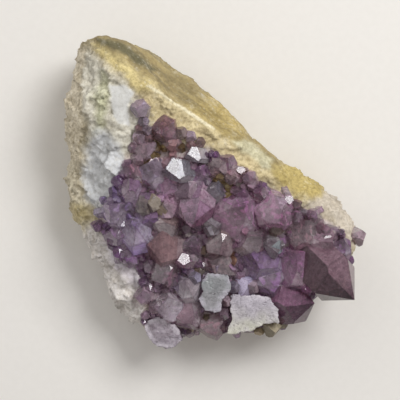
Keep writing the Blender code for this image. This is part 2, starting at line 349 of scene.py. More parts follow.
class Tone(Enum):
    """The looks of the marked crystals.

    Each has the colour of its milky parts, how milky it is, how deeply its clear parts are
    tinted and how much light they let through.
    """

    FIELD = ("", 0.0, 0.65, 1.0)  # takes the colour of its place in the druse
    VIOLET = ("#9a7892", 0.28, 0.50, 1.0)
    DEEP = ("#7f6079", 0.20, 0.60, 0.90)
    LILAC = ("#b8a6b6", 0.55, 0.40, 1.0)
    PINK = ("#84606c", 0.28, 0.50, 0.95)
    MAUVE = ("#8a7074", 0.34, 0.55, 0.95)
    SMOKY = ("#705560", 0.16, 0.60, 0.66)
    MILKY = ("#a8a2ae", 0.62, 0.35, 1.0)
    ROSY = ("#b8a4ae", 0.55, 0.35, 1.0)
    GLINT = ("#8e8f9c", 0.45, 0.30, 0.9)
    PLUM = ("#7c546e", 0.24, 0.55, 0.95)
    BROWN = ("#7e6668", 0.30, 0.55, 0.9)
    GREY = ("#85858b", 0.45, 0.50, 0.95)
    PALE = ("#bcb6bf", 0.93, 0.25, 1.0)
    GREEN_GREY = ("#8f9696", 0.88, 0.30, 1.0)
    CREAM = ("#80786a", 0.62, 0.30, 1.0)
    FROSTED = ("#c4b9c4", 0.82, 0.30, 1.0)
    CHALKY = ("#7d7662", 0.92, 0.30, 1.0)
    PINK_GREY = ("#988482", 0.55, 0.35, 1.0)

    @property
    def colour(self) -> Colour:
        """The linear colour of the milky parts."""
        return linear(self.value[0])

    @property
    def haze(self) -> float:
        """How much of it is milky, from 0 to 1."""
        return self.value[1]

    @property
    def tint(self) -> float:
        """How deeply the clear parts are tinted."""
        return self.value[2]

    @property
    def clearness(self) -> float:
        """How much light the clear parts let through, from 0 to 1."""
        return self.value[3]


@dataclass(frozen=True)
class Bloom:
    """A stretch of the druse with its own colour, round a place in plan.

    The colours were set one by one until the render came near the photograph there.
    """

    x: float
    y: float
    radius: float
    colour: str
    haze: float


BLOOMS: tuple[Bloom, ...] = (
    Bloom(-9.5, 5.5, 2.8, "#b49e9c", 0.50),
    Bloom(-7.0, 10.0, 2.8, "#b3968f", 0.48),
    Bloom(1.0, 6.5, 1.8, "#85787f", 0.35),
    Bloom(6.6, 7.6, 4.0, "#957889", 0.38),
    Bloom(12.0, 10.5, 3.0, "#8c7078", 0.30),
    Bloom(-9.8, -4.2, 2.4, "#887f9a", 0.34),
    Bloom(-5.2, -4.6, 2.4, "#8b7fa0", 0.38),
    Bloom(-1.0, -2.4, 2.2, "#83706f", 0.30),
    Bloom(0.6, -5.0, 2.6, "#7f666a", 0.20),
    Bloom(3.6, -7.4, 2.4, "#6a5862", 0.15),
    Bloom(7.8, -7.4, 2.6, "#9a91a4", 0.55),
    Bloom(8.6, -0.4, 2.6, "#83696c", 0.28),
    Bloom(11.5, 5.3, 1.6, "#7a5c66", 0.22),
    Bloom(14.4, 3.0, 2.8, "#715f7a", 0.24),
    Bloom(19.0, 6.8, 3.2, "#9f7c96", 0.42),
    Bloom(18.6, 11.4, 3.2, "#866c72", 0.28),
    Bloom(14.0, -1.6, 2.2, "#a094a0", 0.55),
    Bloom(17.8, 0.8, 2.2, "#776182", 0.22),
    Bloom(6.0, -12.0, 3.6, "#a896a0", 0.60),
    Bloom(14.4, -10.4, 2.4, "#7c5a5c", 0.20),
    Bloom(4.0, 11.6, 2.4, "#a68d92", 0.42),
    Bloom(-4.0, 3.4, 3.6, "#c6adbd", 0.65),
    Bloom(1.6, 2.0, 2.8, "#7f6270", 0.25),
    Bloom(3.6, -2.6, 2.4, "#5e4b55", 0.10),
)


@dataclass(frozen=True)
class Stain:
    """A spot where iron stains the small crystals."""

    x: float
    y: float
    radius: float
    colour: str


STAINS: tuple[Stain, ...] = (
    Stain(-8.6, 7.6, 1.2, "#96804f"), Stain(-9.6, 4.2, 1.2, "#a8945c"),
    Stain(-9.4, 2.0, 0.9, "#98805a"), Stain(1.6, 8.9, 1.0, "#a08a55"),
    Stain(3.6, 9.0, 0.8, "#a8965c"), Stain(10.6, 1.0, 1.0, "#86604a"),
    Stain(20.6, 4.2, 1.1, "#95895f"), Stain(13.6, -10.2, 1.0, "#7c7050"),
    Stain(6.0, -1.6, 1.2, "#6f6450"), Stain(7.6, -4.2, 1.2, "#6c6252"),
    Stain(-6.2, 10.4, 1.0, "#a08858"), Stain(13.4, 8.4, 0.9, "#8b7f6c"),
)


def stain_at(x: float, y: float) -> Optional[str]:
    """Gives the stain's colour at a place in the druse, if there is one."""
    for stain in STAINS:
        if math.hypot(x - stain.x, y - stain.y) < stain.radius:
            return stain.colour
    return None


def bloom_at(x: float, y: float) -> tuple[Vector, float]:
    """Blends the colour and the haze of a place in the druse.

    Args:
        x: place along the ridge, in millimetres.
        y: place across it.

    Returns:
        The linear colour and the haze.
    """
    colour, haze, weight = Vector(linear("#6f5474")) * 0.15, 0.14 * 0.15, 0.15
    for bloom in BLOOMS:
        reach = math.hypot(x - bloom.x, y - bloom.y) / bloom.radius
        share = math.exp(-1.6 * reach * reach)
        colour += Vector(linear(bloom.colour)) * share
        haze += bloom.haze * share
        weight += share
    return colour / weight, haze / weight


@dataclass(frozen=True)
class QuartzPoint:
    """One crystal: where it roots, where its tip stands and how its faces are turned.

    Its sizes are in millimetres. minor says how far the three minor faces of its point are set
    out.
    """

    x: float
    y: float
    width: float
    height: float
    lean_x: float
    lean_y: float
    turn: float
    minor: float = 0.5
    tone: Tone = Tone.FIELD
    painted_shade_depth: float = 0.0  # how much painted shade darkens it below its surroundings
    painted_shade_side: Optional[float] = None  # plan direction that its faces with painted shade look to, in degrees


class FaceMarks:
    """The marks that the amethyst's material reads from a crystal's faces."""

    FAR_IN = 2.0  # millimetres from the nearest edge, where a face has no sharp one
    TOO_SMALL = 0.02  # square millimetres

    def __init__(self, body: bmesh.types.BMesh) -> None:
        """Adds the layers of the marks to a body."""
        colours = body.faces.layers.float_color
        vectors = body.faces.layers.float_vector
        self.tone, self.glass = colours.new("milk_tone"), colours.new("glass_tint")
        self.axis, self.tip = vectors.new("long_axis"), vectors.new("tip")
        self.haze = body.faces.layers.float.new("haze")
        self.inward = body.loops.layers.float.new("inward")

    def write(
        self, face: bmesh.types.BMFace, milk: Vector, glass: Vector, haze: float, tone: Tone,
        shade: float, axis: Vector, tip: Vector,
    ) -> None:
        """Marks one face.

        Args:
            face: the face.
            milk: the linear colour of the milky parts.
            glass: the linear colour that tints the clear parts.
            haze: how milky it is.
            tone: the look that its clear parts take.
            shade: how light it is, next to the others.
            axis: the long axis of its crystal.
            tip: where the crystal's point stands, in the tables' millimetres.
        """
        strongest = max(glass)
        face[self.tone] = (*(min(c * shade, 1.0) for c in milk), 1.0)
        light = 0.98 * shade * tone.clearness
        clear = [min(0.98, light * (c / strongest) ** tone.tint) for c in glass]
        face[self.glass] = (*clear, 1.0)
        face[self.haze] = min(haze, 1.0)
        face[self.axis] = axis
        face[self.tip] = (tip + READING_SHIFT) * MM
        for corner in face.loops:
            corner[self.inward] = self.FAR_IN

    def mark_edges(self, body: bmesh.types.BMesh) -> None:
        """Gives each flat face a middle point, and marks how far its points lie from its edges.

        A face on which the cuts left an edge of no length gets the mark 0 all over, so that the
        material takes the whole of it for an edge.

        Args:
            body: a crystal's body with flat faces.
        """
        for face in list(body.faces):
            if face.calc_area() < self.TOO_SMALL:
                continue
            middle = face.calc_center_median_weighted()
            reach = min(
                (middle - edge.verts[0].co).cross(
                    (edge.verts[1].co - edge.verts[0].co).normalized()
                ).length
                for edge in face.edges
            )
            for corner in face.loops:
                corner[self.inward] = 0.0
            fan = bmesh.ops.poke(body, faces=[face], center_mode="MEAN_WEIGHTED")
            for part in fan["faces"]:
                for corner in part.loops:
                    if corner.vert in fan["verts"]:
                        corner[self.inward] = reach


@dataclass(frozen=True)
class BrokenCrystal:
    """A pale crystal whose end is broken off, with a ragged outline."""

    outline: Plan
    rise: float  # height of the break above the rock, in millimetres
    tilt: tuple[float, float]
    tone: Tone
    lower: str  # colour of the break towards the foot of the photograph
    rim: str  # colour of its chipped border
    steps: float  # height of the break's steps


class Habit:
    """The faces of quartz, and how a body is cut to them."""

    POINT_FACE_SLOPE = math.radians(51.8)
    MINOR_FACE_STEP = 0.30
    WIDTH_SPREAD = 0.20
    ROOT = 1.9
    STAINED_WIDTH = 2.6  # crystals up to this width take on the stains
    BREAK_CELL = 0.2
    STEEP = 0.45  # sides of a broken crystal whose normal rises less than this are glassy
    PICTURE_DOWN = (0.5948, -0.8039)  # plan direction towards the foot of the photograph
    FACE_SPREAD = 0.42  # how much the shade differs from face to face
    LIGHT_SIDE, DARK_SIDE = 0.68, 0.28  # painted shades of the lit and the shaded faces of a crystal with a painted shade side
    COOL, WARM = Vector((0.90, 0.95, 1.16)), Vector((1.12, 0.97, 0.90))
    HUE_OF_CRYSTAL, HUE_OF_FACE = 0.75, 0.45
    OTHER_BRIGHTNESS = 1.4  # of the crystals that have a tone other than the field's purples
    MILKINESS, FIELD_MILKINESS = 0.08, 0.18  # milk that every crystal has
    # How far a colour is drawn away from grey
    FIELD_RICHNESS, TONE_RICHNESS, GLASS_RICHNESS = 1.9, 1.25, 1.2
    STAINED_BRIGHTNESS, STAINED_HAZE = 0.85, 0.5
    BRIGHTNESS_SPREAD = 0.18  # how much the brightness differs from crystal to crystal
    # Shares of its outline that a broken crystal keeps at its root, halfway up and at the break
    BREAK_FOOT, BREAK_WAIST, BREAK_TOP = 0.62, 0.80, 0.94
    WAIST_RISE, FOOT_SINK = 2.6, 1.0  # millimetres

    def __init__(self, ground: Callable[[float, float], float], brightness: float = 1.0) -> None:
        """Keeps the rock's height over a place in plan, and how light the crystals are."""
        self.ground = ground
        self.brightness = brightness

    @staticmethod
    def cut(body: bmesh.types.BMesh, point: Vector, normal: Vector) -> None:
        """Takes off what lies beyond a plane, and closes the cut.

        Args:
            body: the convex body.
            point: a point of the plane.
            normal: the way the new face looks.
        """
        everything = body.verts[:] + body.edges[:] + body.faces[:]
        found = bmesh.ops.bisect_plane(
            body, geom=everything, plane_co=point, plane_no=normal, clear_outer=True
        )
        edges = [part for part in found["geom_cut"] if isinstance(part, bmesh.types.BMEdge)]
        if edges:
            bmesh.ops.edgeloop_fill(body, edges=edges)

    def grow(self, point: QuartzPoint, chance: random.Random) -> bmesh.types.BMesh:
        """Makes a crystal's closed body, with its tone, haze and axis marked on its faces.

        Args:
            point: the crystal.
            chance: the source of the small differences between its faces.

        Returns:
            The body, in the tables' millimetres.
        """
        surface = Vector((point.x, point.y, self.ground(point.x, point.y)))
        tip = surface + Vector((point.lean_x, point.lean_y, point.height))
        axis = (tip - surface).normalized()
        root = surface - axis * self.ROOT
        length = (tip - root).length
        body = bmesh.new()
        bmesh.ops.create_cube(body, size=1.0)
        bmesh.ops.scale(body, vec=(2 * point.width, 2 * point.width, length), verts=body.verts)
        bmesh.ops.translate(body, vec=(0.0, 0.0, length / 2), verts=body.verts)
        top = Vector((0.0, 0.0, length))
        upward = Vector((0.0, 0.0, math.cos(self.POINT_FACE_SLOPE)))
        for k in range(6):
            angle = math.radians(point.turn + 60 * k)
            across = Vector((math.cos(angle), math.sin(angle), 0.0))
            spread = chance.uniform(-self.WIDTH_SPREAD, self.WIDTH_SPREAD)
            self.cut(body, across * point.width / 2 * (1 + spread), across)
            normal = across * math.sin(self.POINT_FACE_SLOPE) + upward
            step = self.MINOR_FACE_STEP * point.width * point.minor if k % 2 else 0.0
            self.cut(body, top + normal * step, normal)
        turned = Vector((0, 0, 1)).rotation_difference(axis).to_matrix().to_4x4()
        bmesh.ops.transform(body, matrix=Matrix.Translation(root) @ turned, verts=body.verts)
        bmesh.ops.recalc_face_normals(body, faces=body.faces)
        self.mark(body, point, axis, tip)
        return body

    def mark(
        self, body: bmesh.types.BMesh, point: QuartzPoint, axis: Vector, tip: Vector
    ) -> None:
        """Writes tone, haze, axis and tip on the faces, a little different from face to face.

        Args:
            body: the crystal's body.
            point: the crystal, for its tone.
            axis: its long axis.
            tip: where its point stands.
        """
        own = random.Random(round(point.x * 977 + point.y * 131 + point.width * 17, 3))
        stain = stain_at(point.x, point.y) if point.width < self.STAINED_WIDTH else None
        richness = self.TONE_RICHNESS
        if stain:
            colour, haze, richness = Vector(linear(stain)), self.STAINED_HAZE, 1.0
        elif point.tone is Tone.FIELD:
            colour, haze = bloom_at(point.x, point.y)
            richness = self.FIELD_RICHNESS
        else:
            colour, haze = Vector(point.tone.colour), point.tone.haze
        painted_shade_depth = 0.0 if stain else point.painted_shade_depth
        if point.tone in (Tone.VIOLET, Tone.DEEP):
            richness = self.FIELD_RICHNESS
        in_field = richness == self.FIELD_RICHNESS
        whole = self.brightness if in_field else self.OTHER_BRIGHTNESS
        whole = self.STAINED_BRIGHTNESS if stain else whole
        whole += own.uniform(-self.BRIGHTNESS_SPREAD, self.BRIGHTNESS_SPREAD)
        whole -= painted_shade_depth
        haze *= own.uniform(0.7, 1.3)
        if point.tone is not Tone.GLINT:
            haze += self.FIELD_MILKINESS if in_field else self.MILKINESS
        hue = 0.0 if stain else own.uniform(-self.HUE_OF_CRYSTAL, self.HUE_OF_CRYSTAL)
        marks = FaceMarks(body)
        for face in body.faces:
            shade = whole * (1 + own.uniform(-self.FACE_SPREAD, self.FACE_SPREAD))
            own_haze = haze * own.uniform(0.8, 1.2)
            own_hue = hue + own.uniform(-self.HUE_OF_FACE, self.HUE_OF_FACE)
            # Painted shade: the faces that look away from the key lamp are darkened, the others
            # lightened.
            if point.painted_shade_side is not None:
                shade, own_hue = whole * self.painted_side_shade(face.normal, point.painted_shade_side), 0.0
            milk = self.shift_hue(colour, own_hue, richness)
            glass = self.shift_hue(colour, own_hue, self.GLASS_RICHNESS)
            marks.write(face, milk, glass, own_haze, point.tone, shade, axis, tip)
        marks.mark_edges(body)

    def painted_side_shade(self, normal: Vector, painted_shade_side: float) -> float:
        """Paints shade on a face of a crystal by the way it looks, darker towards its painted shade
        side.

        Args:
            normal: the way the face looks.
            painted_shade_side: plan direction of the side with painted shade, in degrees.

        Returns:
            How light it is, next to other crystals.
        """
        angle = math.radians(painted_shade_side)
        facing = normal.x * math.cos(angle) + normal.y * math.sin(angle)
        share = min(max(0.5 + 1.5 * facing, 0.0), 1.0)
        return self.LIGHT_SIDE + (self.DARK_SIDE - self.LIGHT_SIDE) * share

    def shift_hue(self, colour: Vector, hue: float, richness: float) -> Vector:
        """Turns a colour towards violet blue or towards red brown, and makes it richer.

        Args:
            colour: the linear colour.
            hue: 1 for the coolest, -1 for the warmest.
            richness: how far it is drawn away from grey, with 1 for not at all.

        Returns:
            The shifted colour.
        """
        pull = self.COOL if hue > 0 else self.WARM
        factor = Vector((1, 1, 1)).lerp(pull, abs(hue))
        grey = sum(colour) / 3
        return Vector(
            max(grey + (c - grey) * richness, 0.0) * f for c, f in zip(colour, factor)
        )

    def grow_broken(self, crystal: BrokenCrystal, seed: int) -> bmesh.types.BMesh:
        """Makes a crystal with a ragged outline and a stepped break, with the same marks.

        Args:
            crystal: the crystal.
            seed: the seed of its steps.

        Returns:
            The body, in the tables' millimetres.
        """
        middle = sum((Vector(corner) for corner in crystal.outline), Vector((0, 0)))
        middle /= len(crystal.outline)
        floor = self.ground(*middle) - self.FOOT_SINK - self.ROOT
        body = bmesh.new()
        rings = []
        levels = ((self.BREAK_FOOT, floor), (self.BREAK_WAIST, floor + self.WAIST_RISE),
                  (self.BREAK_TOP, None))
        for share, level in levels:
            ring = []
            for x, y in crystal.outline:
                place = middle + (Vector((x, y)) - middle) * share
                z = level
                if z is None:
                    lean = Vector(crystal.tilt).dot(place - middle)
                    z = self.ground(*middle) + crystal.rise - lean
                ring.append(body.verts.new((*place, z)))
            rings.append(ring)
        count = len(crystal.outline)
        for low, high in zip(rings, rings[1:]):
            for i in range(count):
                j = (i + 1) % count
                body.faces.new((low[i], low[j], high[j], high[i]))
        body.faces.new(rings[0])
        body.faces.new(rings[-1])
        bmesh.ops.recalc_face_normals(body, faces=body.faces)
        rough = object_from(body, "broken crystal")
        remesh = rough.modifiers.new("even cells", "REMESH")
        remesh.mode = "VOXEL"
        remesh.voxel_size = self.BREAK_CELL
        apply_modifiers(rough)
        mesh = rough.data
        places = np.empty(len(mesh.vertices) * 3)
        normals = np.empty(len(mesh.vertices) * 3)
        mesh.vertices.foreach_get("co", places)
        mesh.vertices.foreach_get("normal", normals)
        places, normals = places.reshape(-1, 3), normals.reshape(-1, 3)
        side = 0.16 + 0.30 * (1.0 - np.abs(normals[:, 2]))
        push = crystal.steps * side * broken_faces(places, 1.5, seed, 0.5)[0]
        push += 0.6 * crystal.steps * side * broken_faces(places, 0.7, seed + 1, 0.5)[0]
        push += 0.03 * rough_field(places, 0.6, 3, seed)
        places = keep_in_box(places + normals * push[:, None])
        mesh.vertices.foreach_set("co", places.ravel())
        mesh.update()
        body = bmesh.new()
        body.from_mesh(mesh)
        bpy.data.objects.remove(rough)
        bpy.data.meshes.remove(mesh)
        marks = FaceMarks(body)
        seats = np.array([face.calc_center_median() for face in body.faces])
        rim = smooth_step(distance_inside(seats[:, :2], crystal.outline), 1.3, 0.4)
        rim *= smooth_step(rough_field(seats, 1.6, 2, seed + 9.0), -0.35, 0.25)
        down = (seats[:, :2] - np.array(middle)) @ np.array(self.PICTURE_DOWN)
        low = smooth_step(down + 1.2 * rough_field(seats, 2.4, 3, seed + 6.0), -2.2, 3.2)
        patch = 0.5 * rough_field(seats, 2.2, 3, seed + 4.0)
        patch += 0.6 * broken_faces(seats, 1.6, seed + 2, 0.5)[1]
        patch += 0.4 * broken_faces(seats, 0.8, seed + 3, 0.5)[1]
        tip = Vector((*middle, self.ground(*middle) + crystal.rise))
        upright = Vector((0.0, 0.0, 1.0))
        top, lower = Vector(crystal.tone.colour), Vector(linear(crystal.lower))
        border, glass = Vector(linear(crystal.rim)), Vector(Tone.VIOLET.colour)
        rows = zip(body.faces, rim.tolist(), low.tolist(), patch.tolist())
        for face, near_rim, lowness, shade in rows:
            if abs(face.normal.z) < self.STEEP:
                marks.write(face, glass, glass, Tone.VIOLET.haze, Tone.VIOLET, 1.1, upright, tip)
                continue
            colour = top.lerp(lower, lowness).lerp(border, 0.7 * near_rim)
            haze = crystal.tone.haze + 0.1 * near_rim
            factor = 1 + 0.20 * shade
            marks.write(face, colour, colour, haze, crystal.tone, factor, upright, tip)
        return body


def fuse(bodies: Sequence[bmesh.types.BMesh], name: str) -> bpy.types.Object:
    """Joins bodies that cross each other into one closed surface.

    Args:
        bodies: closed bodies, which are used up.
        name: the name of the joined object.

    Returns:
        The joined object, in the tables' millimetres.
    """
    joined = object_from(bodies[0], name)
    group = bpy.data.collections.new(f"{name} parts")
    bpy.context.scene.collection.children.link(group)
    for number, body in enumerate(bodies[1:]):
        part = object_from(body, f"{name}_part_{number}")
        bpy.context.scene.collection.objects.unlink(part)
        group.objects.link(part)
    union = joined.modifiers.new("union", "BOOLEAN")
    union.operation = "UNION"
    union.solver = "MANIFOLD"
    union.operand_type = "COLLECTION"
    union.collection = group
    apply_modifiers(joined)
    for part in list(group.objects):
        mesh = part.data
        bpy.data.objects.remove(part)
        bpy.data.meshes.remove(mesh)
    bpy.data.collections.remove(group)
    return joined


@dataclass(frozen=True)
class AmethystFinish:
    """Amethyst: purple quartz with natural growth faces.

    The faces are glassy, so the eye sees through them into a body that darkens with depth. Veils
    of milky quartz and fine growth lines across the faces break up the gloss.
    """

    ior: float = 1.544
    gloss: float = 0.02
    etched: float = 0.60
    absorbs: tuple[float, float, float] = (0.50, 0.20, 0.32)
    density: float = 55.0  # for each metre
    root_milk: float = 0.12  # how milky a crystal gets towards its root
    tip_purple: float = 0.6  # how much deeper the purple is at the tip
    veil_mm: float = 2.4
    line_mm: float = 0.35
    hillock_mm: float = 0.5
    line_height_mm: float = 0.008
    crack_mm: float = 1.6
    band_mm: float = 0.5
    cloud_mm: float = 1.0
    edge_mm: float = 0.12  # width of the worn edges and their painted highlights, wider than real ones so that they show
    fleck_mm: float = 0.42
    fleck_dark: float = 0.55
    fleck_light: float = 0.36

    def material(self) -> bpy.types.Material:
        """Builds the material.

        Returns:
            The material, which reads the marks that Habit leaves on the faces.
        """
        material, tree, shader = new_material("amethyst_growth_faces")
        place = add_node(tree, "ShaderNodeNewGeometry").outputs["Position"]
        tone = add_node(
            tree, "ShaderNodeAttribute", {"attribute_name": "milk_tone"}
        ).outputs["Color"]
        haze = add_node(tree, "ShaderNodeAttribute", {"attribute_name": "haze"}).outputs["Fac"]
        inward = add_node(tree, "ShaderNodeAttribute", {"attribute_name": "inward"}).outputs["Fac"]
        axis = add_node(
            tree, "ShaderNodeAttribute", {"attribute_name": "long_axis"}
        ).outputs["Vector"]
        veil = add_node(
            tree, "ShaderNodeTexNoise", None, {"Vector": place},
            Scale=1 / (self.veil_mm * MM), Detail=6.0, Roughness=0.62, Distortion=0.6,
        ).outputs["Fac"]
        glass = add_node(
            tree, "ShaderNodeAttribute", {"attribute_name": "glass_tint"}
        ).outputs["Color"]
        wisps = ramp_between(tree, veil, 0.36, 0.70, 0.50, 1.0)
        tip = add_node(tree, "ShaderNodeAttribute", {"attribute_name": "tip"}).outputs["Vector"]
        below = add_node(
            tree, "ShaderNodeVectorMath", {"operation": "SUBTRACT"}, {0: tip, 1: place}
        ).outputs["Vector"]
        depth_below = add_node(
            tree, "ShaderNodeVectorMath", {"operation": "DOT_PRODUCT"}, {0: below, 1: axis}
        ).outputs["Value"]
        root = ramp_between(tree, depth_below, 1.2 * MM, 5.0 * MM, 0.0, self.root_milk)
        even = ramp_between(tree, haze, 0.7, 0.95)
        spread = add_node(
            tree, "ShaderNodeMath", {"operation": "MAXIMUM"}, {0: wisps, 1: even}
        ).outputs[0]
        veiled = add_node(
            tree, "ShaderNodeMath", {"operation": "MULTIPLY"}, {0: spread, 1: haze}
        ).outputs[0]
        glass = self.zone_colour(tree, place, axis, glass)
        near_tip = ramp_between(tree, depth_below, 0.2 * MM, 2.6 * MM, self.tip_purple, 0.0)
        glass = mix_colours(tree, near_tip, glass, linear("#8d7488"), "MULTIPLY")
        milky = add_node(
            tree, "ShaderNodeMath", {"operation": "MULTIPLY_ADD", "use_clamp": True},
            {0: root, 1: wisps, 2: veiled},
        ).outputs[0]
        milky = self.add_healed_cracks(tree, place, milky)
        # Pale lines along the edges: partly wear, partly painted highlight.
        milky = self.add_wear_and_painted_edge_highlights(tree, place, milky, inward)
        outline = ramp_between(tree, inward, 0.3 * self.edge_mm, 1.3 * self.edge_mm, 0.4, 0.0)
        glass = mix_colours(tree, outline, glass, linear("#6f5a6a"), "MULTIPLY")
        tone = mix_colours(tree, outline, tone, linear("#a596a2"), "MULTIPLY")
        body = mix_colours(tree, milky, glass, tone)
        body = self.add_flecks(tree, place, body)
        tree.links.new(body, shader.inputs["Base Color"])
        clear = add_node(
            tree, "ShaderNodeMapRange", None, {"Value": milky},
            From_Min=0.0, From_Max=1.0, To_Min=0.95, To_Max=0.05,
        ).outputs["Result"]
        tree.links.new(clear, shader.inputs["Transmission Weight"])
        rough = ramp_between(tree, haze, 0.72, 1.0, self.gloss, self.etched)
        tree.links.new(rough, shader.inputs["Roughness"])
        shader.inputs["IOR"].default_value = self.ior
        tree.links.new(self.relief(tree, place, axis), shader.inputs["Normal"])
        depth = add_node(tree, "ShaderNodeVolumeAbsorption", Density=self.density)
        depth.inputs["Color"].default_value = (*self.absorbs, 1.0)
        output = tree.nodes["Material Output"]
        tree.links.new(depth.outputs["Volume"], output.inputs["Volume"])
        return material

    def zone_colour(
        self, tree: bpy.types.NodeTree, place: bpy.types.NodeSocket, axis: bpy.types.NodeSocket,
        glass: bpy.types.NodeSocket,
    ) -> bpy.types.NodeSocket:
        """Lays the purple in bands across the long axis and in clouds, as it grows in amethyst.

        Args:
            tree: the material's node tree.
            place: the position socket.
            axis: the socket with each face's long axis.
            glass: the tint of the clear quartz.

        Returns:
            The tint with the bands and clouds.
        """
        run = add_node(
            tree, "ShaderNodeVectorMath", {"operation": "DOT_PRODUCT"}, {0: place, 1: axis}
        ).outputs["Value"]
        bands = add_node(
            tree, "ShaderNodeTexNoise", {"noise_dimensions": "1D"}, {"W": run},
            Scale=1 / (self.band_mm * MM), Detail=3.0, Roughness=0.65,
        ).outputs["Fac"]
        clouds = add_node(
            tree, "ShaderNodeTexNoise", None, {"Vector": place},
            Scale=1 / (self.cloud_mm * MM), Detail=4.0, Roughness=0.6, Distortion=0.8,
        ).outputs["Fac"]
        dark = ramp_between(tree, bands, 0.38, 0.62, 0.30, 0.0)
        glass = mix_colours(tree, dark, glass, linear("#9c8a9c"), "MULTIPLY")
        thick = ramp_between(tree, clouds, 0.36, 0.60, 0.45, 0.0)
        return mix_colours(tree, thick, glass, linear("#a3939f"), "MULTIPLY")

    def add_flecks(
        self, tree: bpy.types.NodeTree, place: bpy.types.NodeSocket, body: bpy.types.NodeSocket
    ) -> bpy.types.NodeSocket:
        """Strews dark and light flecks through the quartz, such as fluid veils and tiny cracks.

        Args:
            tree: the material's node tree.
            place: the position socket.
            body: the colour without them.

        Returns:
            The colour with them.
        """
        flecks = add_node(
            tree, "ShaderNodeTexNoise", None, {"Vector": place},
            Scale=1 / (self.fleck_mm * MM), Detail=5.0, Roughness=0.75, Distortion=1.2,
        ).outputs["Fac"]
        dark = ramp_between(tree, flecks, 0.34, 0.50, self.fleck_dark, 0.0)
        body = mix_colours(tree, dark, body, linear("#5d4a5c"), "MULTIPLY")
        light = ramp_between(tree, flecks, 0.54, 0.72, 0.0, self.fleck_light)
        return mix_colours(tree, light, body, linear("#cfc2cf"), "SCREEN")

    def add_wear_and_painted_edge_highlights(
        self, tree: bpy.types.NodeTree, place: bpy.types.NodeSocket, milky: bpy.types.NodeSocket,
        inward: bpy.types.NodeSocket,
    ) -> bpy.types.NodeSocket:
        """Adds milky quartz where a face is marked as near its edge: partly the wear that chipped
        edges have, partly a painted highlight along the edges.

        It gives thin lines on the faces that mark_edges measures, and patches on those that it
        marks 0 all over.

        Args:
            tree: the material's node tree.
            place: the position socket.
            milky: how milky the quartz is without it.
            inward: the socket with the mark.

        Returns:
            How milky it is with it.
        """
        line = ramp_between(tree, inward, 0.3 * self.edge_mm, self.edge_mm, 0.55, 0.0)
        wear_and_highlight_breaks = add_node(
            tree, "ShaderNodeTexNoise", None, {"Vector": place},
            Scale=1 / (1.1 * MM), Detail=3.0,
        ).outputs["Fac"]
        shown = ramp_between(tree, wear_and_highlight_breaks, 0.42, 0.60)
        lines = add_node(
            tree, "ShaderNodeMath", {"operation": "MULTIPLY"}, {0: line, 1: shown}
        ).outputs[0]
        return add_node(
            tree, "ShaderNodeMath", {"operation": "MAXIMUM"}, {0: lines, 1: milky}
        ).outputs[0]

    def add_healed_cracks(
        self, tree: bpy.types.NodeTree, place: bpy.types.NodeSocket, milky: bpy.types.NodeSocket
    ) -> bpy.types.NodeSocket:
        """Adds thin pale lines, where cracks in the growing crystal have healed.

        Args:
            tree: the material's node tree.
            place: the position socket.
            milky: how milky the quartz is without them.

        Returns:
            How milky it is with them.
        """
        course = add_node(
            tree, "ShaderNodeTexNoise", None, {"Vector": place},
            Scale=1 / (self.crack_mm * MM), Detail=2.5, Roughness=0.55, Distortion=1.4,
        ).outputs["Fac"]
        off = add_node(
            tree, "ShaderNodeMath", {"operation": "SUBTRACT"}, {0: course}
        )
        off.inputs[1].default_value = 0.5
        near = add_node(tree, "ShaderNodeMath", {"operation": "ABSOLUTE"}, {0: off.outputs[0]})
        line = ramp_between(tree, near.outputs[0], 0.0, 0.022, 0.5, 0.0)
        broken_up = add_node(
            tree, "ShaderNodeTexNoise", None, {"Vector": place},
            Scale=1 / (0.9 * MM), Detail=2.0,
        ).outputs["Fac"]
        shown = ramp_between(tree, broken_up, 0.46, 0.58)
        lines = add_node(
            tree, "ShaderNodeMath", {"operation": "MULTIPLY"}, {0: line, 1: shown}
        ).outputs[0]
        return add_node(
            tree, "ShaderNodeMath", {"operation": "MAXIMUM"}, {0: lines, 1: milky}
        ).outputs[0]

    def relief(
        self, tree: bpy.types.NodeTree, place: bpy.types.NodeSocket, axis: bpy.types.NodeSocket
    ) -> bpy.types.NodeSocket:
        """Adds growth lines across the long axis, and low hillocks.

        Args:
            tree: the material's node tree.
            place: the position socket.
            axis: the socket with each face's long axis.

        Returns:
            The bent normal.
        """
        run = add_node(
            tree, "ShaderNodeVectorMath", {"operation": "DOT_PRODUCT"}, {0: place, 1: axis}
        ).outputs["Value"]
        lines = add_node(
            tree, "ShaderNodeTexNoise", {"noise_dimensions": "1D"}, {"W": run},
            Scale=1 / (self.line_mm * MM), Detail=3.0, Roughness=0.6,
        ).outputs["Fac"]
        hillocks = add_node(
            tree, "ShaderNodeTexNoise", None, {"Vector": place},
            Scale=1 / (self.hillock_mm * MM), Detail=3.0, Roughness=0.5,
        ).outputs["Fac"]
        both = add_node(
            tree, "ShaderNodeMath", {"operation": "ADD"}, {0: lines, 1: hillocks}
        ).outputs[0]
        bump = add_node(
            tree, "ShaderNodeBump", None, {"Height": both},
            Strength=0.5, Distance=self.line_height_mm * MM,
        )
        return bump.outputs["Normal"]


@dataclass(frozen=True)
class Zone:
    """A stretch of the rock's surface, as seen from above, with its own colour and break."""

    name: str
    tone: str
    outline: Plan
    feather: float = 0.7  # width of its border, in millimetres
    facets: float = 0.3  # height of the broken faces
    grain: float = 0.10  # height of the fine roughness
    gloss: float = 0.2  # 0 for earthy, 1 for glassy
    streaks: float = 0.0  # how strong the streaks along the crest are


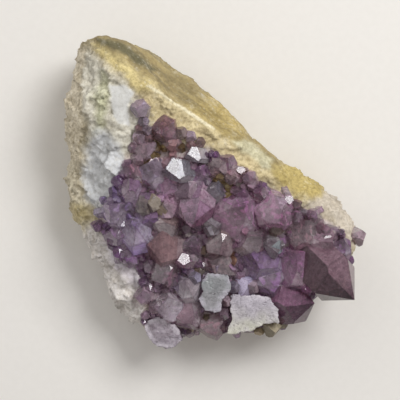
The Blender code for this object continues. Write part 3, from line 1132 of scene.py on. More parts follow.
@dataclass(frozen=True)
class BrokenRockFinish:
    """Weathered host rock: quartz and clay, broken with a hammer and stained by iron.

    It gives the eye a dull, grainy skin that turns from ochre to pale grey, with pale specks that
    are partly white quartz grains and partly painted glints of fresh quartz, and painted shade in
    the cracks and in the hollows between the broken faces.
    """

    rough: float = 0.88
    glassy: float = 0.38
    grain_mm: float = 0.45
    blotch_mm: float = 2.6
    speck_mm: float = 0.9
    relief_mm: float = 0.10

    def material(self) -> bpy.types.Material:
        """Builds the material.

        Returns:
            The material, which reads the ground_tone, gloss and crack marks of the points.
        """
        material, tree, shader = new_material("broken_host_rock")
        place = add_node(tree, "ShaderNodeNewGeometry").outputs["Position"]
        ground = add_node(
            tree, "ShaderNodeAttribute", {"attribute_name": "ground_tone"}
        ).outputs["Color"]
        gloss = add_node(tree, "ShaderNodeAttribute", {"attribute_name": "gloss"}).outputs["Fac"]
        crack = add_node(tree, "ShaderNodeAttribute", {"attribute_name": "crack"}).outputs["Fac"]
        blotch = add_node(
            tree, "ShaderNodeTexNoise", None, {"Vector": place},
            Scale=1 / (self.blotch_mm * MM), Detail=8.0, Roughness=0.7,
        ).outputs["Fac"]
        grain = add_node(
            tree, "ShaderNodeTexNoise", None, {"Vector": place},
            Scale=1 / (self.grain_mm * MM), Detail=4.0, Roughness=0.65,
        ).outputs["Fac"]
        specks = add_node(
            tree, "ShaderNodeTexVoronoi", None, {"Vector": place},
            Scale=1 / (self.speck_mm * MM), Randomness=1.0,
        )
        light = ramp_between(tree, blotch, 0.35, 0.72)
        calm = add_node(
            tree, "ShaderNodeMapRange", None, {"Value": gloss},
            From_Min=0.0, From_Max=1.0, To_Min=1.0, To_Max=0.25,
        ).outputs["Result"]
        stained = add_node(
            tree, "ShaderNodeMath", {"operation": "MULTIPLY"},
            {0: ramp_between(tree, blotch, 0.30, 0.62, 0.55, 0.0), 1: calm},
        ).outputs[0]
        colour = mix_colours(tree, stained, ground, linear("#bfb6a2"), "MULTIPLY")
        colour = mix_colours(
            tree, ramp_between(tree, light, 0.5, 1.0, 0.0, 0.28), colour, linear("#e2dccb")
        )
        shade = add_node(
            tree, "ShaderNodeMath", {"operation": "MULTIPLY"},
            {0: ramp_between(tree, grain, 0.34, 0.60, 0.6, 0.0), 1: calm},
        ).outputs[0]
        colour = mix_colours(tree, shade, colour, linear("#9c937f"), "MULTIPLY")
        # Pale specks: partly white quartz grains, partly painted glints of fresh quartz.
        grain_and_painted_glint_specks = add_node(
            tree, "ShaderNodeMath", {"operation": "MULTIPLY"},
            {0: ramp_between(tree, specks.outputs["Distance"], 0.05, 0.30, 0.30, 0.0), 1: calm},
        ).outputs[0]
        colour = mix_colours(tree, grain_and_painted_glint_specks, colour, linear("#e9e4d8"), "SCREEN")
        # Painted shade: darker in the cracks and in the hollows between the broken faces.
        colour = mix_colours(tree, crack, colour, linear("#857c6a"), "MULTIPLY")
        tree.links.new(colour, shader.inputs["Base Color"])
        rough = ramp_between(tree, gloss, 0.0, 1.0, self.rough, self.glassy)
        tree.links.new(rough, shader.inputs["Roughness"])
        bump = add_node(
            tree, "ShaderNodeBump", None, {"Height": grain}, Strength=0.8,
            Distance=self.relief_mm * MM,
        )
        tree.links.new(bump.outputs["Normal"], shader.inputs["Normal"])
        return material


CRUST_OUTLINE: Plan = (
    (-7.4, 9.3), (-5.4, 11.2), (-2.0, 12.3), (3.7, 12.4), (7.3, 12.0), (10.1, 13.0),
    (14.0, 13.1), (18.2, 14.2), (21.4, 14.4), (23.2, 12.6), (25.4, 10.4), (26.4, 7.0),
    (25.0, 3.4), (23.8, 0.2), (22.6, -3.6), (19.2, -6.8), (15.4, -10.0), (12.2, -12.4),
    (11.2, -15.4), (8.8, -17.0), (5.8, -16.4), (4.2, -13.6), (2.2, -11.0), (-2.4, -9.4),
    (-6.0, -9.4), (-9.6, -7.8), (-11.3, -4.6), (-10.6, -1.2), (-11.8, 3.0), (-12.6, 6.4),
    (-10.6, 7.6),
)

ROCK_ZONES: tuple[Zone, ...] = (
    Zone("olive side face", "#a09064",
         ((-32, 15.4), (-27, 15.0), (-16, 15.0), (-5, 15.0), (8, 15.2), (16, 15.8), (26, 16.4),
          (30, 24), (-32, 24)), 0.4, 0.12, 0.05, 0.6, 0.22),
    Zone("grey-olive streak", "#6c6648",
         ((-27.8, 15.5), (-25.4, 17.2), (-21.5, 17.9), (-17.1, 17.8), (-17.6, 16.6),
          (-21.0, 16.3), (-24.6, 16.0), (-26.8, 15.2)), 0.45, 0.10, 0.06, 0.5),
    Zone("ochre stretch of the side face", "#b3a068",
         ((-9, 15.0), (-9, 22), (1, 22), (0.5, 15.2)), 1.8, 0.12, 0.05, 0.4, 0.20),
    Zone("pale splinter", "#cfc9a8",
         ((-1, 15.4), (2, 17.6), (6.5, 17.0), (6.8, 15.2), (4, 14.7), (1, 15.0)), 0.4,
         0.25, 0.05, 0.5),
    Zone("yellow stretch", "#c4b171",
         ((7, 14.8), (9, 21), (16, 21), (17, 16), (12, 14.4), (8, 14.2)), 1.3, 0.2, 0.07, 0.3),
    Zone("pinkish quartz at the right-hand end", "#d3c9ba",
         ((15, 14.0), (17, 22), (28, 22), (27, 14.6), (24.5, 13.4), (20, 15.0)), 0.9,
         0.3, 0.10, 0.5),
    Zone("yellow strip under the crest", "#e6d59a",
         ((-28, 14.4), (-26, 15.3), (-16, 15.2), (-13.4, 14.2), (-17, 12.6), (-20, 12.9),
          (-24, 13.4)), 0.8, 0.2, 0.08, 0.25),
    Zone("cream band", "#e0d0a4",
         ((-16, 15.0), (5, 15.0), (9, 14.2), (4, 11.8), (-2, 12.2), (-6, 11.2), (-9, 11.4),
          (-13, 10.8), (-15.6, 12.0)), 0.7, 0.22, 0.08, 0.3),
    Zone("pale fracture", "#dedacc",
         ((-28.4, 13.2), (-24, 13.0), (-20, 12.6), (-16.4, 12.0), (-13, 10.0), (-12, 5.0),
          (-13.5, 2.0), (-18, 0.0), (-21.5, 4.0), (-25.4, 8.8)), 0.8, 0.34, 0.12, 0.45),
    Zone("greenish dirt", "#ccccae",
         ((-24, 12.2), (-22.5, 8.0), (-20.4, 6.0), (-18.8, 3.5), (-17.6, 4.5), (-19.5, 8.0),
          (-22, 12.2)), 0.8, 0.40, 0.14, 0.3),
    Zone("white cleavage face", "#dfdfdc",
         ((-21.4, 11.1), (-18.8, 12.4), (-17.3, 12.3), (-17.0, 10.1), (-14.8, 7.6),
          (-16.5, 6.9), (-18.7, 8.2)), 0.22, 0.0, 0.02, 0.9),
    Zone("blue-grey quartz", "#d3d5d8",
         ((-19, 4.0), (-15, 4.6), (-11.5, 3.0), (-10.5, -2.0), (-10.5, -6.0), (-13.5, -6.0),
          (-17, -3.5), (-18.5, 0.0)), 0.8, 0.30, 0.10, 0.7),
    Zone("tan strip at the left-hand edge", "#e6dcc6",
         ((-32, 15.0), (-28.4, 13.0), (-25.3, 8.8), (-22.3, 4.2), (-19.4, 0.5), (-18, -1.5),
          (-23, -4.5), (-32, 4)), 0.6, 0.3, 0.12, 0.15),
    Zone("cream rim", "#e4dbc4",
         ((-23, -3.5), (-17.8, -1.6), (-16.2, -5.0), (-13.5, -6.2), (-11.6, -8.2),
          (-9.0, -9.2), (-11.0, -14), (-22, -12)), 0.7, 0.4, 0.14, 0.2),
    Zone("ochre patch in the rim", "#d6c89c",
         ((-15, -6.8), (-12.8, -6.6), (-11.4, -8.4), (-13, -9.8), (-15.8, -8.8)), 0.9,
         0.3, 0.12, 0.2),
    Zone("granular rim", "#e8e3e0",
         ((-10.4, -8.0), (-6, -9.0), (-2, -9.2), (2, -10.8), (4.2, -13.6), (6.5, -20),
          (-4, -20), (-12, -13)), 0.7, 0.4, 0.16, 0.4),
    Zone("grey-lilac grains", "#ebe4ec",
         ((-7.5, -8.4), (-3, -8.8), (1.2, -10.4), (1.4, -12.6), (-3, -12.4), (-6.5, -11.0)),
         0.8, 0.4, 0.16, 0.6),
    # Painted highlight: a thin pale band along the crest, where its edge catches the light.
    Zone("painted highlight along the crest", "#efe6c6",
         ((-16.4, 14.2), (-10.0, 14.8), (-3.9, 15.0), (-3.9, 15.5), (-10.0, 15.35),
          (-16.4, 14.65)), 0.12, 0.1, 0.03, 0.4),
    Zone("bed of the druse", "#d6c9cc", CRUST_OUTLINE, 1.0, 0.1, 0.05, 0.3),
)


@dataclass
class HostRock:
    """The chunk of rock that the crystals grow on."""

    cell_mm: float = 0.28  # side of the cells of the fine mesh
    facet_mm: float = 2.2  # size of the broken faces
    chip_mm: float = 0.85  # size of the chips on them
    flat_base_mm: float = 0.5  # below this height the flat underside stays as it is
    border_wander: float = 0.7  # how far the zones' borders wander
    crack_depth_mm: float = 0.4
    drawn_in_mm: float = 0.15  # how far the whole surface is drawn in before it is broken up
    streak_mm: float = 1.3  # width of the streaks on the side face
    streak_shape: tuple[float, float, float] = (0.16, 1.0, 1.0)  # they run along the crest
    seed: int = 5
    base_tone: str = "#c2b698"

    def build(self) -> bpy.types.Object:
        """Refines the CAD rock, breaks its surface up and dresses it.

        Returns:
            The finished piece.
        """
        source = frame["nodes"]["matrix"]
        rock = bpy.data.objects.new("host_rock", source.data.copy())
        bpy.context.scene.collection.objects.link(rock)
        rock.data.transform(Matrix.Translation(-READING_SHIFT) @ Matrix.Scale(1 / MM, 4))
        remesh = rock.modifiers.new("even cells", "REMESH")
        remesh.mode = "VOXEL"
        remesh.voxel_size = self.cell_mm
        apply_modifiers(rock)
        self.break_up(rock)
        rock.data.materials.clear()
        rock.data.materials.append(BrokenRockFinish().material())
        rock.data.shade_smooth()
        settle(rock)
        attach(rock, "root")
        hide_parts("matrix")
        return rock

    def break_up(self, rock: bpy.types.Object) -> None:
        """Displaces the fine mesh zone by zone, and marks its colour, gloss and cracks.

        Args:
            rock: the rock, in the tables' millimetres.
        """
        mesh = rock.data
        count = len(mesh.vertices)
        points = np.empty(count * 3)
        normals = np.empty(count * 3)
        mesh.vertices.foreach_get("co", points)
        mesh.vertices.foreach_get("normal", normals)
        points, normals = points.reshape(-1, 3), normals.reshape(-1, 3)
        wander = np.stack(
            [rough_field(points, 2.4, 3, 11.0 + 5 * k) for k in range(2)], axis=1
        )
        tone = np.tile(linear(self.base_tone), (count, 1))
        streaks = np.zeros(count)
        facets, grain, gloss = np.full(count, 0.35), np.full(count, 0.12), np.full(count, 0.15)
        for zone in ROCK_ZONES:
            plan = points[:, :2] + min(zone.feather, self.border_wander) * wander
            share = smooth_step(distance_inside(plan, zone.outline), -zone.feather, zone.feather)
            tone += share[:, None] * (np.array(linear(zone.tone)) - tone)
            facets += share * (zone.facets - facets)
            grain += share * (zone.grain - grain)
            gloss += share * (zone.gloss - gloss)
            streaks += share * (zone.streaks - streaks)
        faces, face_shade = broken_faces(points, self.facet_mm, self.seed, 0.55)
        chips, chip_shade = broken_faces(points, self.chip_mm, self.seed + 1, 0.60)
        fine = rough_field(points, 1.1, 4, 3.1)
        wide = rough_field(points, 5.0, 3, 8.7)
        split = np.abs(rough_field(points * np.array([0.8, 1.3, 1.0]), 5.5, 2, 21.0))
        crack = (1.0 - smooth_step(split, 0.0, 0.05)) * smooth_step(wide, -0.1, 0.3)
        crack *= np.clip(facets * 1.6, 0.0, 1.0)
        push = facets * (faces + chips) + grain * fine + 0.15 * wide
        push -= self.crack_depth_mm * crack
        push -= self.drawn_in_mm
        free = smooth_step(points[:, 2], 0.05, self.flat_base_mm)
        points += normals * (push * free)[:, None]
        points[:, :2] = keep_in_box(points)[:, :2]
        points[:, 2] = np.maximum(points[:, 2], 0.0)
        mesh.vertices.foreach_set("co", points.ravel())
        shade = 1.0 + 0.13 * np.clip(2 * facets, 0.2, 1.0) * (face_shade + 0.7 * chip_shade)
        run = rough_field(points * np.array(self.streak_shape), self.streak_mm, 4, 33.0)
        shade *= 1.0 + streaks * np.clip(2.2 * run, -1.0, 1.0)
        colour = np.concatenate([tone * shade[:, None], np.ones((count, 1))], axis=1)
        mesh.attributes.new("ground_tone", "FLOAT_COLOR", "POINT").data.foreach_set(
            "color", colour.ravel()
        )
        mesh.attributes.new("gloss", "FLOAT", "POINT").data.foreach_set("value", gloss)
        # Painted shade for the cracks and for the hollows between the broken faces.
        painted_hollow_shade = np.clip(crack * 0.6 - 0.35 * facets * np.minimum(faces + chips, 0.0), 0.0, 0.7)
        mesh.attributes.new("crack", "FLOAT", "POINT").data.foreach_set("value", painted_hollow_shade)
        mesh.update()


LARGE_POINTS: tuple[QuartzPoint, ...] = (
    # The first two carry painted shade on the faces that look away from the key lamp.
    QuartzPoint(21.65, 8.0, 7.4, 4.2, 8.15, -1.22, 21.5, 0.0, Tone.SMOKY, painted_shade_side=-98),
    QuartzPoint(22.0, -0.5, 6.4, 4.2, 3.2, 3.1, 14, 0.0, Tone.PLUM, painted_shade_side=-75),
    QuartzPoint(19.6, 6.2, 6.8, 4.6, -1.4, 1.0, 5, 0.4, Tone.FIELD),
    QuartzPoint(15.0, 2.8, 5.8, 3.8, -2.7, 0.2, 32, 0.5, Tone.FIELD),
    QuartzPoint(6.8, 7.2, 8.2, 4.8, 0.2, 0.9, 28, 0.2, Tone.VIOLET),
    QuartzPoint(11.4, 10.6, 6.0, 4.0, 1.6, -1.2, 52, 0.3, Tone.VIOLET),
    QuartzPoint(0.5, 4.7, 4.8, 3.6, 1.6, -4.0, 22, 0.2, Tone.PLUM, painted_shade_depth=0.10),
    QuartzPoint(0.9, -4.2, 6.6, 3.9, -2.6, -1.4, 33, 0.9, Tone.MAUVE),
    QuartzPoint(7.2, 1.6, 4.6, 3.2, 1.2, -1.8, 50, 0.5, Tone.BROWN),
    QuartzPoint(9.6, -1.4, 4.6, 3.0, -1.6, -0.6, 15, 0.7, Tone.BROWN),
    QuartzPoint(4.4, 2.6, 3.0, 3.2, 1.2, 0.4, 0, 0.8, Tone.GREY),
    QuartzPoint(11.2, 4.4, 4.4, 3.4, 0.9, 1.8, 25, 0.4, Tone.PINK),
    QuartzPoint(14.0, 6.4, 3.4, 3.2, 1.6, -0.9, 126, 0.9, Tone.GREY),
    QuartzPoint(-4.0, 7.3, 3.9, 3.9, -2.4, -1.6, 51.6, 0.9, Tone.GLINT),
    QuartzPoint(-3.4, 10.6, 2.6, 2.8, -1.6, -1.0, 56, 0.8, Tone.GLINT),
    QuartzPoint(-1.6, 5.0, 4.4, 3.4, 0.6, -0.8, 55, 0.4, Tone.LILAC),
    QuartzPoint(-7.4, 4.0, 4.2, 2.9, -1.8, 0.8, 35, 0.5, Tone.LILAC),
    QuartzPoint(-10.6, 6.0, 3.6, 2.6, -0.4, 0.8, 10, 0.8, Tone.LILAC),
    QuartzPoint(-4.2, -5.2, 5.0, 3.3, -1.6, 1.6, 22, 0.3, Tone.FIELD),
    QuartzPoint(-6.4, -7.2, 3.8, 2.4, -1.4, -0.4, 48, 0.7, Tone.FIELD),
    QuartzPoint(-8.6, -4.6, 4.0, 2.4, -1.6, 0.4, 5, 0.5, Tone.FIELD),
    QuartzPoint(-1.2, -1.6, 4.6, 3.0, 1.4, 1.0, 15, 0.4, Tone.PINK_GREY),
    QuartzPoint(3.0, -7.6, 4.4, 3.0, 1.2, -1.6, 38, 0.6, Tone.FIELD),
    QuartzPoint(8.0, -7.6, 4.6, 3.2, -1.6, 1.0, 12, 0.2, Tone.MILKY),
    QuartzPoint(6.6, -11.6, 5.4, 3.0, -1.0, -1.6, 27, 0.5, Tone.ROSY),
    QuartzPoint(10.0, -10.8, 5.4, 3.3, 1.6, -1.0, 44, 0.3, Tone.PINK),
    QuartzPoint(17.2, 1.2, 4.6, 3.4, 1.8, -1.0, 18, 0.4, Tone.FIELD),
    QuartzPoint(17.2, 10.6, 4.8, 3.3, -1.2, 1.6, 8, 0.6, Tone.PINK),
    QuartzPoint(20.4, 11.0, 4.8, 3.5, 1.2, 1.0, 31, 0.4, Tone.FIELD),
    QuartzPoint(14.4, -10.0, 4.0, 2.6, 1.2, -1.2, 24, 0.7, Tone.FIELD),
    QuartzPoint(21.8, -4.2, 3.8, 2.4, 1.4, -0.8, 2, 0.5, Tone.CHALKY),
    QuartzPoint(5.8, -3.4, 2.1, 3.5, -2.2, -1.45, 51.6, 0.9, Tone.DEEP),
    QuartzPoint(4.2, -1.6, 3.8, 2.8, 0.6, 0.2, 40, 0.4, Tone.FIELD),
    QuartzPoint(14.8, -1.4, 3.8, 2.8, -0.2, 0.6, 3, 0.4, Tone.FROSTED),
    QuartzPoint(2.0, 7.4, 3.8, 2.8, -0.4, 0.6, 47, 0.5, Tone.GREY),
)
# Small crystals with a look of their own, which only the visual model has
ACCENT_POINTS: tuple[QuartzPoint, ...] = (
    QuartzPoint(-6.4, -1.2, 2.8, 2.9, 0.9, 0.7, 12, 0.5, Tone.CREAM),
    QuartzPoint(-4.6, 0.5, 2.9, 2.8, -0.8, -0.8, 33, 0.3, Tone.CREAM),
    QuartzPoint(-2.9, 0.2, 2.4, 2.7, -0.6, 0.5, 50, 0.6, Tone.CREAM),
    QuartzPoint(-5.4, -1.9, 2.0, 2.6, 0.2, 0.9, 20, 0.4, Tone.CREAM),
    QuartzPoint(-0.7, 11.0, 2.6, 2.4, 0.9, -0.3, 15, 0.3, Tone.PINK_GREY),
    QuartzPoint(0.9, 11.5, 2.7, 2.2, -0.8, -0.9, 40, 0.5, Tone.PINK_GREY),
    QuartzPoint(2.3, 11.1, 2.2, 2.4, 0.5, -0.9, 5, 0.7, Tone.PINK_GREY),
    QuartzPoint(0.2, 10.0, 2.0, 2.4, -0.9, 0.6, 28, 0.2, Tone.MAUVE),
    QuartzPoint(-13.6, 9.6, 1.8, 1.4, -0.3, 0.3, 10, 0.4, Tone.LILAC),
    QuartzPoint(-13.4, 8.1, 1.7, 1.3, 0.4, 0.2, 44, 0.3, Tone.MAUVE),
    QuartzPoint(-12.6, 8.9, 1.9, 1.5, 0.2, -0.4, 30, 0.6, Tone.LILAC),
    QuartzPoint(-12.8, 7.1, 1.8, 1.5, -0.4, 0.1, 3, 0.5, Tone.LILAC),
    QuartzPoint(-11.6, 7.9, 1.9, 1.6, 0.5, 0.2, 25, 0.5, Tone.MAUVE),
    QuartzPoint(-7.8, 11.6, 2.0, 1.6, -0.3, 0.5, 18, 0.4, Tone.PINK_GREY),
    QuartzPoint(-6.4, 12.0, 1.9, 1.5, 0.4, 0.4, 52, 0.4, Tone.LILAC),
    QuartzPoint(-4.6, 12.2, 1.7, 1.4, 0.2, 0.3, 7, 0.3, Tone.PINK_GREY),
    QuartzPoint(5.8, 2.7, 2.4, 3.3, -1.5, -0.7, 22, 0.9, Tone.GREY),
    QuartzPoint(14.4, 5.6, 2.4, 3.6, 0.8, 0.9, 37, 0.6, Tone.GREEN_GREY),
    QuartzPoint(13.8, -5.4, 1.7, 3.0, 0.1, -0.2, 11, 0.6, Tone.ROSY),
    QuartzPoint(14.6, -7.3, 1.9, 2.7, 0.3, -0.1, 48, 0.5, Tone.LILAC),
    QuartzPoint(13.5, -3.2, 2.0, 3.1, -0.1, 0.3, 31, 0.4, Tone.MILKY),
    QuartzPoint(15.6, -1.2, 2.4, 3.2, 0.4, 0.2, 19, 0.5, Tone.ROSY),
    QuartzPoint(7.6, -5.6, 2.2, 3.0, -0.3, 0.2, 40, 0.5, Tone.MILKY),
    QuartzPoint(9.4, -2.4, 1.9, 2.9, -0.2, 0.4, 6, 0.5, Tone.LILAC),
    QuartzPoint(23.3, -3.0, 2.0, 1.2, 0.3, -0.2, 27, 0.6, Tone.CHALKY),
    QuartzPoint(20.9, -6.2, 2.0, 1.2, 0.2, -0.3, 50, 0.6, Tone.CHALKY),
)
GLINTING_POINTS: tuple[QuartzPoint, ...] = (
    QuartzPoint(21.4, 5.2, 2.0, 3.4, 2.16, -1.80, 118.9, 0.9, Tone.FIELD),
    QuartzPoint(18.6, 10.4, 2.2, 2.8, 3.20, 1.75, 189.3, 0.9, Tone.FIELD),
    QuartzPoint(8.0, 6.0, 1.5, 2.9, 1.9, -1.1, 138.4, 0.9, Tone.FIELD),
    QuartzPoint(11.2, 13.6, 1.9, 1.9, 1.4, -0.8, 126.2, 0.9, Tone.FIELD),
    QuartzPoint(-6.2, -3.8, 1.4, 3.3, 1.2, -0.7, 126.2, 0.9, Tone.FIELD),
)


BROKEN_CRYSTALS: tuple[BrokenCrystal, ...] = (
    BrokenCrystal(
        ((13.8, -4.1), (17.2, -1.4), (19.1, -0.6), (20.6, -1.3), (21.5, -1.6), (22.7, -3.2),
         (20.9, -5.0), (20.4, -6.0), (20.0, -7.2), (18.7, -8.2), (18.1, -9.4), (16.9, -10.1),
         (16.3, -8.7), (16.2, -7.6), (14.7, -6.2), (14.1, -5.1)),
        3.0, (0.06, -0.12), Tone.PALE, "#d2d1bf", "#cfc8cf", 0.5),
    BrokenCrystal(
        ((8.4, -3.6), (10.3, -2.3), (11.7, -1.8), (12.9, -2.7), (13.4, -3.4), (13.3, -4.9),
         (13.2, -5.8), (14.2, -7.3), (13.1, -8.4), (12.0, -8.9), (10.9, -8.5), (9.9, -8.0),
         (9.8, -6.5), (8.7, -5.6), (8.6, -4.6)),
        3.1, (-0.05, -0.10), Tone.GREEN_GREY, "#a2a4a6", "#b4adb9", 0.5),
    BrokenCrystal(
        ((5.2, -15.6), (6.4, -14.2), (7.9, -13.6), (9.6, -13.4), (11.0, -13.9), (11.9, -15.0),
         (11.9, -16.4), (10.8, -17.6), (9.4, -18.2), (7.8, -18.2), (6.2, -17.4), (5.3, -16.6)),
        2.9, (0.0, -0.15), Tone.FROSTED, "#cac3cf", "#e0d9e0", 0.6),
)
LONE_POINTS: dict[str, QuartzPoint] = {
    "crystal_far_left": QuartzPoint(-15.2, 10.8, 2.9, 2.2, -0.5, -0.3, 16, 0.4, Tone.ROSY),
    "crystal_by_the_ridge": QuartzPoint(-10.1, 10.5, 4.0, 2.8, -0.2, -0.9, 42, 0.2, Tone.PINK),
    "crystal_at_the_right_edge": QuartzPoint(
        24.3, 15.2, 2.5, 2.3, 1.4, 0.2, 21, 0.5, Tone.ROSY
    ),
}


@dataclass
class Druse:
    """The field of intergrown crystals: the large ones, and the small ones between them."""

    ground: Callable[[float, float], float]
    seed: int = 11
    spacing_mm: float = 2.9
    widths_mm: tuple[float, float] = (2.1, 3.6)
    heights_mm: tuple[float, float] = (2.0, 2.9)
    lean: float = 0.8
    kept_off: float = 0.34
    kept_off_lone: float = 0.62
    fill_spacing_mm: float = 1.35
    fill_widths_mm: tuple[float, float] = (0.9, 1.9)
    brightness: float = 1.86
    large: tuple[QuartzPoint, ...] = LARGE_POINTS
    glinting: tuple[QuartzPoint, ...] = GLINTING_POINTS
    accents: tuple[QuartzPoint, ...] = ACCENT_POINTS
    broken: tuple[BrokenCrystal, ...] = BROKEN_CRYSTALS
    bodies: list[bmesh.types.BMesh] = field(default_factory=list)

    def places(
        self, chance: random.Random, spacing: float, widths: tuple[float, float]
    ) -> Iterator[tuple[float, float, float]]:
        """Walks a shaken grid over the field.

        Args:
            chance: the source of the shaking.
            spacing: the grid's step.
            widths: smallest and largest crystal width.

        Yields:
            The place in plan and the crystal's width.
        """
        xs, ys = zip(*CRUST_OUTLINE)
        rows = range(math.floor(min(ys) / spacing), math.ceil(max(ys) / spacing))
        columns = range(math.floor(min(xs) / spacing), math.ceil(max(xs) / spacing))
        for row in rows:
            for column in columns:
                x = (column + 0.5 * (row % 2) + chance.uniform(-0.3, 0.3)) * spacing
                y = (row + chance.uniform(-0.3, 0.3)) * spacing
                yield x, y, chance.uniform(*widths)

    def inside_broken(self, x: float, y: float) -> Iterator[bool]:
        """Says for each broken crystal whether a place in plan lies on it."""
        for crystal in self.broken:
            yield distance_inside(np.array([[x, y]]), crystal.outline)[0] > 0

    def medium_points(self, chance: random.Random) -> Iterator[QuartzPoint]:
        """Gives the middle-sized crystals, in the order and at the places of the CAD model.

        Args:
            chance: the source of their sizes, after the large crystals have drawn from it.

        Yields:
            One crystal after the other.
        """
        taken = [(p.x, p.y, p.width, self.kept_off) for p in self.large]
        taken += [(p.x, p.y, p.width, self.kept_off_lone) for p in LONE_POINTS.values()]
        for x, y, width in self.places(chance, self.spacing_mm, self.widths_mm):
            clear = all(
                math.hypot(x - tx, y - ty) > share * (width + other)
                for tx, ty, other, share in taken
            )
            if not clear or distance_inside(np.array([[x, y]]), CRUST_OUTLINE)[0] <= 0:
                continue
            if any(self.inside_broken(x, y)):
                continue
            height = chance.uniform(*self.heights_mm)
            lean_x = chance.uniform(-self.lean, self.lean) * height
            lean_y = chance.uniform(-self.lean, self.lean) * height
            turn, minor = chance.uniform(0, 60), chance.random()
            yield QuartzPoint(x, y, width, height, lean_x, lean_y, turn, minor)

    def small_points(self, chance: random.Random) -> Iterator[QuartzPoint]:
        """Gives the small crystals that close the gaps.

        Args:
            chance: the source of their places and sizes.

        Yields:
            One crystal after the other.
        """
        for x, y, width in self.places(chance, self.fill_spacing_mm, self.fill_widths_mm):
            inside = distance_inside(np.array([[x, y]]), CRUST_OUTLINE)[0]
            if inside <= -0.4:
                continue
            height = chance.uniform(0.6, 1.0) * width + 0.3
            lean_x = chance.uniform(-0.7, 0.7) * height
            lean_y = chance.uniform(-0.7, 0.7) * height
            yield QuartzPoint(
                x, y, width, height, lean_x, lean_y, chance.uniform(0, 60), chance.random(),
                # Painted shade: the small crystals are darkened at random, as shade in the gaps
                # between the large ones.
                painted_shade_depth=chance.uniform(0.0, 0.45),
            )

    def build(self, finish: bpy.types.Material) -> bpy.types.Object:
        """Grows all the crystals, joins them and dresses them.

        Args:
            finish: the amethyst.

        Returns:
            The finished piece.
        """
        habit = Habit(self.ground, self.brightness)
        chance = random.Random(self.seed)
        self.bodies = [habit.grow(point, chance) for point in self.large]
        self.bodies += [
            habit.grow(point, random.Random(7)) for point in self.glinting + self.accents
        ]
        self.bodies += [
            habit.grow_broken(crystal, 31 + 5 * number)
            for number, crystal in enumerate(self.broken)
        ]
        medium = []
        for point in self.medium_points(chance):
            medium.append(point)
            self.bodies.append(habit.grow(point, chance))
        small = list(self.small_points(random.Random(self.seed + 3)))
        self.bodies += [habit.grow(point, chance) for point in small]
        log.info("druse: %d large, %d medium, %d small crystals",
                 len(self.large) + len(self.broken), len(medium), len(small))
        druse = fuse(self.bodies, "amethyst_druse")
        druse.data.materials.clear()
        druse.data.materials.append(finish)
        settle(druse)
        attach(druse, "root")
        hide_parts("druse")
        return druse


@dataclass
class LoneCrystals:
    """The three crystals that stand apart on the rock."""

    ground: Callable[[float, float], float]
    seed: int = 12
    points: dict[str, QuartzPoint] = field(default_factory=lambda: dict(LONE_POINTS))

    def build(self, finish: bpy.types.Material) -> list[bpy.types.Object]:
        """Grows and dresses each of them.

        Args:
            finish: the amethyst.

        Returns:
            The finished pieces.
        """
        habit = Habit(self.ground)
        chance = random.Random(self.seed)
        made = []
        for name, point in self.points.items():
            piece = object_from(habit.grow(point, chance), name.replace("crystal", "amethyst"))
            piece.data.materials.append(finish)
            settle(piece)
            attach(piece, "root")
            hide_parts(name)
            made.append(piece)
        return made


def rock_height(rock: bpy.types.Object) -> Callable[[float, float], float]:
    """Makes a function that gives the rock's height over a place in plan.

    Args:
        rock: the CAD rock, in the frame's metres.

    Returns:
        The function, in the tables' millimetres.
    """
    corners = [vertex.co / MM - READING_SHIFT for vertex in rock.data.vertices]
    tree = BVHTree.FromPolygons(corners, [face.vertices[:] for face in rock.data.polygons])
    sky, beside = 40.0, 9.0

    def height(x: float, y: float) -> float:
        found = tree.ray_cast(Vector((x, y, sky)), Vector((0.0, 0.0, -1.0)))[0]
        return found.z if found else tree.find_nearest(Vector((x, y, beside)))[0].z

    return height


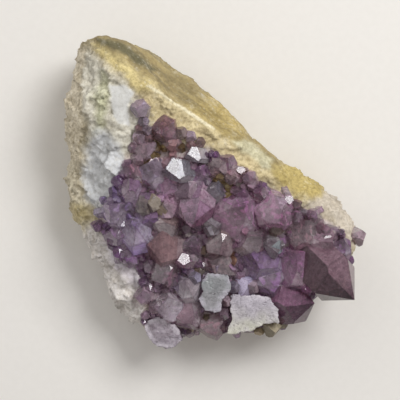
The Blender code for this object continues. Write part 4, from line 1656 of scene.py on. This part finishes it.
@dataclass
class Studio:
    """The pale floor, the soft light and the camera, which looks straight down."""

    turn: float = math.radians(36.5)  # from the picture's right-hand side to +X
    aim: tuple[float, float] = (0.8, 4.95)  # what the middle of the picture shows
    distance_mm: float = 300.0
    lens_mm: float = 162.2
    floor_tone: str = "#e4e1dc"
    key_from: tuple[float, float, float] = (0.10, 0.62, 0.78)
    lamp_distance_mm: float = 420.0
    key_size_mm: float = 190.0
    key_watts: float = 1.25
    fill_from: tuple[float, float, float] = (-0.70, 0.05, 0.70)
    fill_size_mm: float = 400.0
    fill_watts: float = 0.35
    sky: float = 0.46

    def build(self) -> None:
        """Sets up the floor, the lights and the camera."""
        self.lay_floor()
        self.light()
        self.point_camera()
        view = bpy.context.scene.view_settings
        view.view_transform = "Standard"
        view.look = "None"

    def lay_floor(self) -> None:
        """Lays a wide pale floor."""
        body = bmesh.new()
        bmesh.ops.create_grid(body, x_segments=1, y_segments=1, size=1500.0)
        floor = object_from(body, "studio_floor")
        floor.data.transform(Matrix.Scale(MM, 4))
        material, tree, shader = new_material("matte_studio_paper")
        fibre = add_node(
            tree, "ShaderNodeTexNoise", None,
            {"Vector": add_node(tree, "ShaderNodeNewGeometry").outputs["Position"]},
            Scale=900.0, Detail=3.0,
        ).outputs["Fac"]
        share = ramp_between(tree, fibre, 0.3, 0.7, 0.0, 0.05)
        tone = mix_colours(tree, share, linear(self.floor_tone), linear("#bdb9b2"))
        tree.links.new(tone, shader.inputs["Base Color"])
        shader.inputs["Roughness"].default_value = 0.9
        floor.data.materials.append(material)
        floor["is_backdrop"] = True

    def light(self) -> None:
        """Adds a soft key light, a wide fill light and an even sky."""
        world = bpy.data.worlds.new("soft sky")
        bpy.context.scene.world = world
        world.use_nodes = True
        air = world.node_tree.nodes["Background"]
        air.inputs["Color"].default_value = (*linear("#f3f0ee"), 1.0)
        air.inputs["Strength"].default_value = self.sky
        self.hang_lamp("key", self.key_from, self.key_size_mm, self.key_watts)
        self.hang_lamp("fill", self.fill_from, self.fill_size_mm, self.fill_watts)

    def hang_lamp(
        self, name: str, way: tuple[float, float, float], size_mm: float, watts: float
    ) -> None:
        """Hangs a square lamp that looks at the piece.

        Args:
            name: the lamp's name.
            way: the direction that it hangs in.
            size_mm: its side.
            watts: its power.
        """
        data = bpy.data.lights.new(name, "AREA")
        data.size = size_mm * MM
        data.energy = watts
        lamp = bpy.data.objects.new(name, data)
        direction = Vector(way).normalized()
        lamp.location = direction * self.lamp_distance_mm * MM
        lamp.rotation_euler = direction.to_track_quat("Z", "Y").to_euler()
        bpy.context.scene.collection.objects.link(lamp)

    def point_camera(self) -> None:
        """Hangs the camera over the piece."""
        data = bpy.data.cameras.new("camera")
        data.lens = self.lens_mm
        data.sensor_width = 36.0
        camera = bpy.data.objects.new("camera", data)
        x, y = self.aim
        place = (Vector((x, y, self.distance_mm)) + READING_SHIFT) * MM
        camera.matrix_world = Matrix.Translation(place) @ Matrix.Rotation(self.turn, 4, "Z")
        bpy.context.scene.collection.objects.link(camera)
        bpy.context.scene.camera = camera


def write_sizes() -> None:
    """Measures the CAD box and the visual model's box, but writes them nowhere."""
    boxes = {"cad": CAD_BOX, "visual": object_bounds()}
    plain = {name: [[float(c) for c in corner] for corner in box] for name, box in boxes.items()}


def main() -> None:
    """Builds the piece and its studio."""
    logging.basicConfig(level=logging.INFO, format="%(name)s: %(message)s")
    ground = rock_height(frame["nodes"]["matrix"])
    rock = HostRock().build()
    log.info("host rock: %d faces", len(rock.data.polygons))
    amethyst = AmethystFinish().material()
    druse = Druse(ground).build(amethyst)
    log.info("druse: %d faces", len(druse.data.polygons))
    for piece in LoneCrystals(ground).build(amethyst):
        log.info("%s: %d faces", piece.name, len(piece.data.polygons))
    Studio().build()
    write_sizes()


if __name__ == "__main__":
    main()
